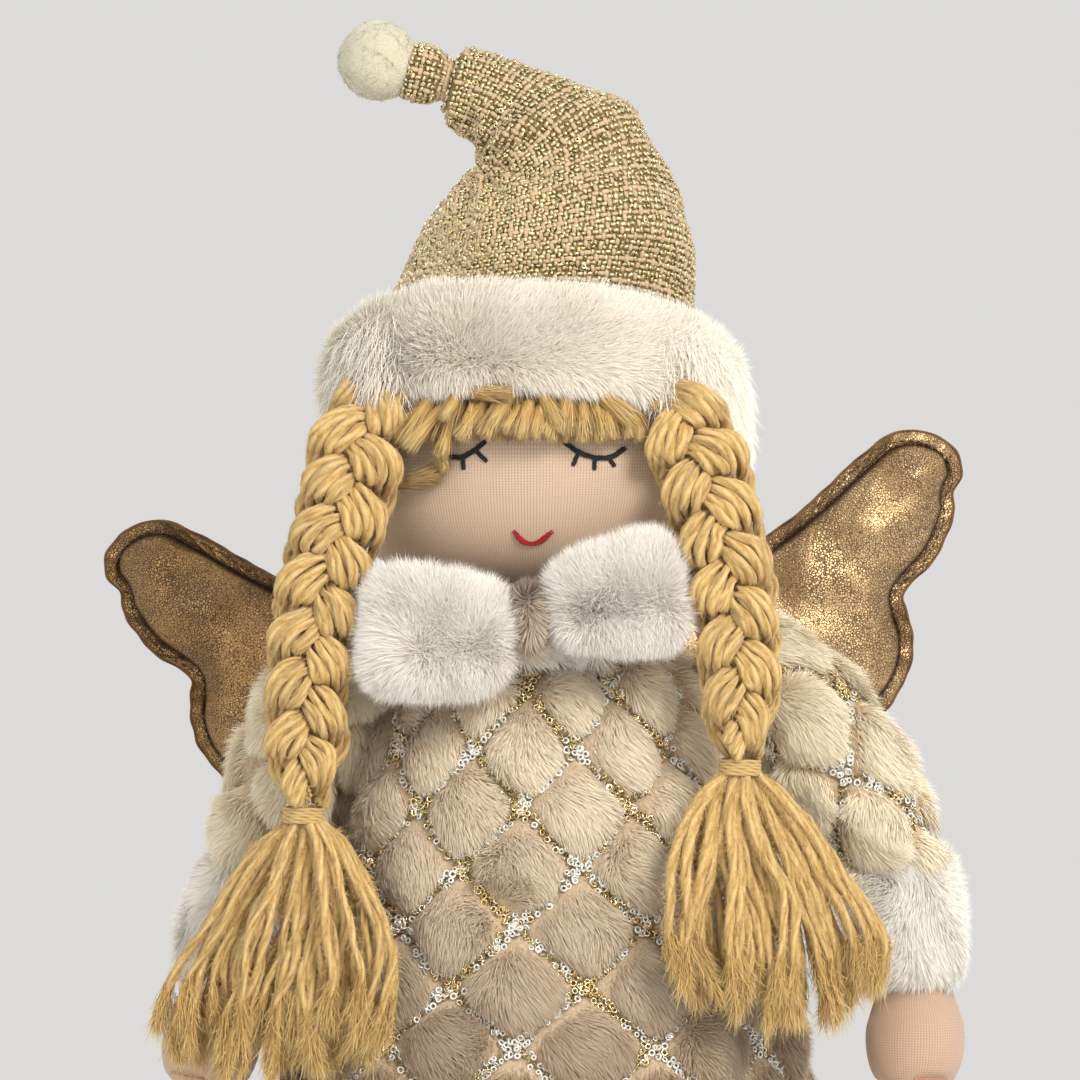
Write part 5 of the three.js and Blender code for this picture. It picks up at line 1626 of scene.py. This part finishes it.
fringe = {
    "locks": [        # across and up at the root, the same at the tip, and the width
        [-40.0, 283.9, -49.5, 273.1, 4.5], [-33.9, 282.8, -44.7, 266.2, 5.1], [-30.0, 278.5, -42.0, 264.3, 3.9],
        [-26.2, 282.4, -30.6, 272.4, 3.7], [-22.3, 278.1, -28.1, 268.1, 3.9], [-18.5, 278.9, -25.8, 267.0, 4.0],
        [-13.4, 280.5, -21.2, 268.9, 4.2], [-10.0, 282.0, -16.1, 270.0, 4.2], [-6.9, 277.4, -12.7, 268.9, 3.9],
        [-4.6, 278.9, -8.0, 267.0, 4.6], [-1.1, 277.4, -3.3, 267.0, 4.3], [-2.3, 284.3, 5.1, 270.0, 4.2],
        [3.1, 275.4, 3.1, 266.2, 3.7], [7.0, 282.8, 7.5, 267.7, 4.8], [11.4, 279.7, 10.9, 266.6, 3.9],
        [15.2, 278.9, 15.2, 267.0, 4.0], [18.9, 278.1, 20.9, 267.0, 4.0], [23.2, 276.6, 24.7, 267.7, 3.5],
        [13.2, 284.7, 27.8, 272.4, 4.8], [27.0, 277.4, 29.0, 266.6, 3.5], [28.6, 282.8, 35.1, 275.4, 4.6],
        [-29.6, 272.4, -33.6, 262.3, 3.1], [-27.7, 282.6, -9.2, 280.8, 4.6], [-38.1, 276.6, -47.0, 268.9, 3.9],
    ],
    "least": (-62.0, 200.0),        # the part of the face that can take them
    "most": (53.5, 312.0),
    "lockWidths": [0.6, 0.85, 1.0, 1.0, 0.85, 0.5],
    "under": 26,        # locks of the layer below, from end to end
    "from": -47.0,
    "to": 35.0,
    "rootHeight": 288.0,
    "tipHeight": 266.0,
    "swell": 1.22,
    "fibres": 480,        # in each lock
    "fibreWidth": 0.36,
    "wisp": [[-50.5, 253.0, -33.0, 257.0, 5.4], [-34.5, 267.0, -31.5, 257.5, 3.4]],
}


def fuzzOn(p, seed, count, length=2.6, width=0.13, rise=0.3):        # loose fibres that hang from yarns
    chance = np.random.default_rng(seed)
    read = scatter(p, count, chance)
    roots, n = read(p["points"]), unit(read(normalsOf(p)))
    way = chance.normal(size=(count, 3)) * 0.5 + [0, 0, -0.8]
    way = unit(way - dot(way, n) * n)
    lean = unit(way + n * rise)
    tipLean = unit(way + n * rise * 0.4 + chance.normal(size=(count, 3)) * 0.35)
    return hairs(roots - n * 0.1, lean, tipLean, length * chance.uniform(0.5, 1.4, count), np.full(count, width),
                 unit(n + chance.normal(size=(count, 3)) * 0.5), toned(chance, count))


def makePlait(side):
    facts, body = plaits[side], f"braid_{side}"
    path = evenly(facts["path"], 400)
    length = lineLength(path)
    t = np.linspace(0, 1, 150)
    middle = between(t, np.linspace(0, 1, 400), path)
    along = unit(np.gradient(middle, axis=0))
    across = -unit(np.cross([0.0, 1, 0], along))
    back = unit(np.cross(across, along))
    scale = plait["topScale"] + (plait["endScale"] - plait["topScale"]) * t
    last = np.clip((t - 0.87) / 0.13, 0, 1)
    first = np.clip(1 - t / plait["topReach"], 0, 1) ** 2
    gather = scale * (1 - 0.45 * last * last * (3 - 2 * last)) * (1 - (1 - facts["topWidth"]) * first)
    middle = middle + across * (facts["topShift"] * first)[:, None]
    bend = [tuple((path[0] - [0, 0, down]) * mm) for down in (0, plait["bendLength"])]

    def placed(p):        # from the straight plait to the hanging one
        return middle + across * (p[:, :1] * gather[:, None]) + back * (p[:, 1:2] * scale[:, None] * plait["depth"])

    for number in (1, 2, 3):
        angle = 2 * np.pi * (t * facts["turns"] + number / 3)
        over = np.tanh(plait["tightness"] * np.sin(2 * angle)) / math.tanh(plait["tightness"])
        line = np.stack([plait["sway"] * np.sin(angle), -plait["weave"] * over, -length * t], 1)
        way = unit(np.gradient(line, axis=0))
        wide = unit(np.cross([0.0, 1, 0], way))
        deep = np.cross(way, wide)
        edge = plait["edgeSwell"] * np.sin(angle) ** 2
        half = plait["strandRadius"] * (1 + edge + plait["slantSwell"] * np.abs(np.sin(2 * angle)))
        yarns = []
        for k in range(plait["yarns"]):
            turn = 2 * np.pi * (k + 0.5) / plait["yarns"]
            wander = Drift(13, 100 + k + 10 * number).wayAt(line) * 0.45
            p = line + wide * (half * math.cos(turn))[:, None] + deep * (plait["layer"] * math.sin(turn)) + wander
            yarns.append(placed(p) + along * ((-p[:, 2:] / length - t[:, None]) * length))
        yarns = np.stack(yarns + [placed(line)])
        yarns[..., 1] += plait["tuck"] * np.clip(1 - t / 0.085, 0, 1) ** 2
        radius = np.clip(half * plait["yarnRadius"], 1.05, 1.75) * scale * (1 + 0.07 * Drift(5, 105 + number).at(line))
        tones = np.random.default_rng(number).random(len(yarns))
        made = tubes(yarns, radius, sides=12, lobes=3, lobeShare=0.09, pitch=11.0, tones=tones)
        addPiece(f"{body}_yarns_{number}", made, finishes["yarn"], body, [f"{body}_strand_{number}"], bend=bend)
        fuzz = fuzzOn(made, 110 + number, plait["fuzz"] // 3)
        addHairs(f"{body}_fuzz_{number}", fuzz, finishes["yarnFibre"], body, "yarn", bend)

    inside = np.stack([middle + across * shift * gather[:, None] for shift in plait["fillers"]])
    made = tubes(inside[:, 9:-8], plait["fillerRadius"], lobes=3, lobeShare=0.09, pitch=11.0)
    addPiece(f"{body}_inner_yarns", made, finishes["yarn"], body, slot="yarn", bend=bend)

    end = path[-1]
    turn = np.linspace(0, 2 * np.pi * plait["tieTurns"], 200)
    top = end - [0, 0, tassel["neckDrop"] - 1.5]
    wide, deep = plait["tieHalf"]
    wrap = top + np.stack([wide * np.cos(turn), deep * np.sin(turn), -plait["tieHeight"] * turn / turn[-1]], 1)
    made = tubes(wrap[None], plait["tieYarn"], lobes=3, lobeShare=0.1, pitch=5.0)
    addPiece(f"{body}_tie_yarn", made, finishes["yarn"], body, [f"{body}_tie"])
    makeTassel(side, end)


def makeTassel(side, end):        # bunches of yarn that spread from the tie, with unspun ends
    facts, body = plaits[side], f"braid_{side}"
    chance = np.random.default_rng(tassel["seeds"][side])
    lean = math.radians(tassel["turn"])
    wide = np.array([math.cos(lean), signs[side] * math.sin(lean), 0])
    deep = np.array([wide[1], -wide[0], 0])
    inner = tassel["neck"] * 0.8
    top = end - [0, 0, tassel["neckDrop"] + 2.5]
    t = np.linspace(0, 1, 60)
    spread = readAt(tassel["spreads"], t)
    settle = t * t * (3 - 2 * t)
    yarns = []
    for bunch in range(tassel["bunches"]):
        place = (bunch + 0.5) / tassel["bunches"] * 2 - 1
        layer = chance.uniform(-1, 1)
        bend = np.stack([np.sin(t * chance.uniform(4, 9) + chance.uniform(0, 6)) * chance.uniform(*reach)
                         for reach in ((1.0, 4.2), (0.5, 2.6))], 1)
        reach = chance.uniform(0.8, 1.0) * (1 - 0.1 * place ** 2)
        for _ in range(tassel["bunch"]):
            at = np.clip(place + chance.normal() * 0.09, -1, 1)
            long = tassel["length"] * reach * chance.uniform(0.9, 1.0)
            x = tassel["neck"] * at + (facts["spread"] - tassel["neck"]) * at * spread
            y = (layer + chance.uniform(-0.4, 0.4)) * (inner + (tassel["depth"] - inner) * np.minimum(1, t * 3))
            y = y * math.sqrt(max(0.15, 1 - at ** 2))
            kink = np.stack([
                np.sin(t * long / chance.uniform(*size) + chance.uniform(0, 6)) * chance.uniform(0.2, most)
                for size, most in (((2.6, 5), 0.7), ((3, 6), 0.6))], 1)
            wave = (bend + kink) * np.minimum(1, t * 2)[:, None]
            line = top + np.stack([settle * facts["shift"], settle * tassel["swing"], -long * t], 1)
            yarns.append(line + (x + wave[:, 0])[:, None] * wide + (y + wave[:, 1])[:, None] * deep)
    yarns = np.stack(yarns)
    count = len(yarns)
    radius = tassel["yarnRadius"] * chance.uniform(0.7, 1.15, (count, 1))
    radius = radius * (1 + 0.08 * np.sin(t * 37 + chance.uniform(0, 6, (count, 1))))
    radius = radius * (1 - 0.55 * t ** 6)
    made = tubes(yarns, radius, sides=9, lobes=3, lobeShare=0.1, pitch=13.0, tones=chance.random(count))
    addPiece(f"{body}_tassel_yarns", made, finishes["yarn"], body, [f"{body}_tassel"])
    each = tassel["tufts"]
    back = chance.integers(2, 12, count * each)        # steps up from the end
    ends = np.repeat(yarns, each, 0)[np.arange(count * each), -back] + chance.normal(size=(count * each, 3)) * 0.8
    way = np.repeat(unit(yarns[:, -1] - yarns[:, -5]), each, 0)
    lean, tipLean = (unit(way + chance.normal(size=way.shape) * spread) for spread in (0.16, 0.5))
    tips = hairs(ends, lean, tipLean, chance.uniform(*tassel["tuftLength"], len(ends)),
                 np.full(len(ends), tassel["tuftWidth"]), unit(chance.normal(size=way.shape) + [0, -0.6, 0]),
                 toned(chance, len(ends)))
    fuzz = together([tips, fuzzOn(made, 130, tassel["fuzz"], 3.6, 0.16, 0.14)])
    addHairs(f"{body}_tassel_fuzz", fuzz, finishes["yarnFibre"], body, "yarn")


# One flat lock: a tapered core and the fibres round it
def lockOf(spot, out, chance, fibres, frayed=0.5, dim=0.0):
    x0, z0, x1, z1, width = spot
    t = np.linspace(0, 1, 14)
    bow = out + 1.6 * np.sin(np.pi * np.clip(t * 0.9, 0, 1))
    sag = chance.normal() * 0.6 * np.sin(np.pi * t)
    places = np.stack([x0 + (x1 - x0) * t + sag, z0 + (z1 - z0) * t - 0.4 * sag], 1)
    line = faceAt(np.clip(places, fringe["least"], fringe["most"]), 0) - np.stack([0 * t, bow, 0 * t], 1)
    shape = readAt(fringe["lockWidths"], t)
    core = tubes(line[None], width / 2 * 0.66 * shape, sides=10, lobes=5, lobeShare=0.08, pitch=60.0,
                 tones=chance.random(1))
    start = chance.uniform(0, 0.62, fibres)
    turn = chance.uniform(0, 2 * np.pi, fibres)
    reach = np.sqrt(chance.uniform(0.35, 1, fibres)) * width / 2 * readAt(fringe["lockWidths"], start)
    way = unit(between(np.minimum(start + 0.12, 1), t, line) - between(np.maximum(start - 0.12, 0), t, line))
    side = unit(np.cross(way, [0.0, -1, 0]))
    out = np.cross(side, way)
    aside = side * np.cos(turn)[:, None] - out * (np.sin(turn) * 0.75)[:, None]
    long = lineLength(line) * (1.03 - start) * chance.uniform(0.75, 1.05, fibres)
    lean = unit(way + chance.normal(size=(fibres, 3)) * 0.06)
    tipLean = unit(way + aside * 0.12 * frayed + chance.normal(size=(fibres, 3)) * 0.12)
    widths = fringe["fibreWidth"] * chance.uniform(0.7, 1.4, fibres)
    tone = chance.random(fibres)
    # painted shade: darker on each lock's sides and over the whole under layer (dim); the random part is the yarn's own
    # tone
    paintedShade = np.clip(dim + 0.75 * np.abs(np.cos(turn)) ** 5 + 0.2 * chance.random(fibres), 0, 1)
    strands = hairs(between(start, t, line) + aside * reach[:, None], lean, tipLean, long, widths,
                    unit(aside + [0, -0.5, 0]), np.stack([tone, paintedShade], 1), (0, 0.4, 0.8, 1))
    return core, strands


def makeFringe():
    chance = np.random.default_rng(141)
    middle = (fringe["from"] + fringe["to"]) / 2
    spots = []
    places = np.linspace(fringe["from"], fringe["to"], fringe["under"])
    for place in places + chance.uniform(-0.8, 0.8, fringe["under"]):
        lean = np.clip((place - middle) / 40, -1, 1)
        high = fringe["rootHeight"] - abs(place - middle) * 0.07
        low = fringe["tipHeight"] + chance.uniform(0, 3)
        tipAt = place + lean * 5 * (1 if lean > 0 else 1.6)
        spots.append(((place - lean * 4, high, tipAt, low, chance.uniform(4.4, 6.0)), 1.2))
    spots += [((*spot[:4], spot[4] * fringe["swell"]), 4.4 + chance.uniform(0, 1.6)) for spot in fringe["locks"]]
    # dim paints the under layer in shade: painted shade
    locks = [lockOf(spot, out, chance, fringe["fibres"], dim=0.4 * (out < 2)) for spot, out in spots]
    locks += [lockOf(spot, 1.6, chance, fringe["fibres"] * 2, 1.6) for spot in fringe["wisp"]]
    cores, fibres = zip(*locks)
    addPiece("fringe_yarn_locks", together(cores), finishes["yarn"], "root", ["fringe"])
    addHairs("fringe_fibres", together(fibres), finishes["yarnFibre"], "root", "yarn")


makeFringe()
for side in ("right", "left"):
    makePlait(side)
print("hair is plaited")


# Wings: two foil leather panels sewn round a pad, with a raw puckered edge

wing = {
    "length": 147.0,
    "height": 76.0,
    "dome": 11.0,
    "flange": 4.4,        # outside the seam
    "leather": 0.8,
    "grooveWidth": 0.8,
    "rawEdge": 1.0,        # how far the bare brown edge comes in
    "middle": [0.48, -0.26],
    "outline": [
        [0.014, 0.224], [0.203, 0.145], [0.419, 0.079], [0.642, 0.112], [0.797, 0.171], [0.885, 0.191],
        [0.953, 0.132], [0.993, 0.013], [0.98, -0.105], [0.943, -0.164], [0.919, -0.237], [0.838, -0.349],
        [0.743, -0.408], [0.72, -0.474], [0.703, -0.592], [0.655, -0.711], [0.574, -0.789],
        [0.459, -0.803], [0.324, -0.684], [0.189, -0.474], [0.081, -0.329], [0.014, -0.289],
    ],
    "stitch": 2.9,
    "stitchRadius": 0.26,
    "ruffle": [(1.4, 31, 1.5), (1.1, 17.3, 0), (0.7, 8.1, 0.5)],        # height, length and start of each wave
}

wings = {
    "right": {"root": (-4.0, 46.371, 190.0), "rise": 17.0, "lean": 12.0},
    "left": {"root": (7.0, 46.371, 190.0), "rise": 31.0, "lean": 7.0},
}


def makeWing(side):
    facts, sign, body = wings[side], signs[side], f"wing_{side}"
    turn = rotation("z", sign * facts["lean"]) @ rotation("y", -sign * facts["rise"]) @ rotation("x", 90)

    def placed(local):
        return (local * [sign, 1, 1]) @ turn.T + facts["root"]

    count = 420
    outline = evenly(np.array(wing["outline"]) * [wing["length"], wing["height"]], count, closed=True)
    middle = np.array(wing["middle"]) * [wing["length"], wing["height"]]
    reach = np.linalg.norm(outline - middle, axis=1)
    gone = np.arange(count) / count * lineLength(np.vstack([outline, outline[:1]]))
    inside = np.sin(np.linspace(0, 0.5, 46) * np.pi) ** 0.85
    seam = 1 - wing["flange"] / reach
    shares = np.concatenate([inside[1:, None] * seam[None], 1 - (1 - seam[None]) * np.linspace(0.85, 0, 6)[:, None]])
    flat = middle + shares[..., None] * (outline - middle)
    away = np.linalg.norm(flat[:, :, None] - outline[None, None], axis=-1).min(2)
    depth = np.clip(away - wing["flange"] * 0.97, 0, None)
    rise = wing["dome"] * (1 - (1 - np.clip(depth / 27, 0, 1)) ** 2) ** 0.5
    pucker = np.sin(gone * 2 * np.pi / 6.1 + 0.8 * np.sin(gone / 9)) * np.exp(-((depth - 3.0) / 2.6) ** 2) * (depth > 0)
    cloth = np.concatenate([flat, np.zeros(flat.shape[:2] + (1,))], -1)
    lumps = Drift(26, 151).at(cloth) * np.clip(depth / 8, 0, 1)
    waves = sum(high * np.sin(gone * 2 * np.pi / long + start) for high, long, start in wing["ruffle"])
    edge = np.clip((wing["flange"] - away) / wing["flange"], 0, 1)
    ruffle = np.clip(1 - depth / 2, 0, 1) * waves * (0.15 + edge)
    # groove also darkens the leather's colour there: painted shade
    groove = np.exp(-(((away - wing["flange"]) / wing["grooveWidth"]) ** 2))
    top = rise + 0.12 * pucker + lumps + wing["leather"] * (1 - 0.8 * groove)
    rim = np.clip((wing["rawEdge"] - away) / 0.6, 0, 1)
    rings, values = [], []
    for sideOf, order in ((1, slice(None)), (-1, slice(None, None, -1))):
        local = np.concatenate([flat, (sideOf * top + ruffle)[..., None]], -1)[order]
        rings.append(placed(local))
        values.append(np.stack([0 * rim, groove, rim], -1)[order])
    leather = grid(np.concatenate(rings), np.concatenate(values))
    # each wing takes its own copy of the foil: darker on the right, painted shade, lighter on the left, painted light
    piece = addPiece(f"{body}_foil_leather", leather, finishes[f"{side}Foil"], body,
                     [f"{body}_front", f"{body}_back", f"{body}_stuffing"])
    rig.padded(piece, 0.7)
    strips = []
    for sideOf in (-1, 1):
        line = np.concatenate([outline, (ruffle[-1] + sideOf * 0.45)[:, None]], 1)
        strips.append(placed(np.vstack([line, line[:2]])))
    edges = tubes(np.stack(strips), 0.5, roundEnds=False)
    addPiece(f"{body}_raw_edge", edges, finishes["rawEdge"], body, slot="wing_leather")
    stitches = []
    seamRow = len(inside) - 1
    number = int(gone[-1] / wing["stitch"])
    for sideOf in (1, -1):
        row = np.concatenate([flat[seamRow], (sideOf * (top + 0.12) + ruffle)[seamRow][:, None]], 1)
        for k in range(number):
            line = between(np.array([k, k + 0.35, k + 0.7]) * count / number, np.arange(count), row)
            line[1, 2] += sideOf * 0.25
            stitches.append(placed(line))
    thread = tubes(np.stack(stitches), wing["stitchRadius"], sides=6)
    addPiece(f"{body}_stitches", thread, finishes["brownThread"], body, slot="wing_leather")


for side in ("right", "left"):
    makeWing(side)
print("wings are sewn")


# What stands inside the skirt, and the felt of the base below it

bag = {
    "radius": 42.0,
    "bottom": 3.3,
    "height": 30.0,
    "profile": [[0.3, 0.02], [0.85, 0.0], [0.97, 0.1], [1.0, 0.4], [0.98, 0.7], [0.88, 0.93], [0.6, 1.0], [0.2, 0.99]],
}


def makeBag():
    profile = [(bag["radius"] * radius, bag["bottom"] + 0.2 + (bag["height"] - 0.6) * rise)
               for radius, rise in evenly(bag["profile"], 50)]
    body = grid(turned(profile, circle(120)))
    normals = normalsOf(body)
    body["points"] = body["points"] - normals * (0.5 + 0.5 * np.abs(Drift(4.5, 161).at(body["points"])))[:, None]
    body["points"][:, 2] = np.maximum(body["points"][:, 2], bag["bottom"])
    piece = addPiece("pellet_bag", body, finishes["pelletCloth"], "root", ["weight_bag"])
    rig.padded(piece, 0.8)


makeBag()
for slot in frame["nodes"]["base_disc"].material_slots:
    slot.material = finishes["baseFelt"]
print("base is finished")

with open("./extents.json", "w") as store:
    json.dump({"cad": cadBox, "visual": [list(corner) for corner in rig.bounds()]}, store)
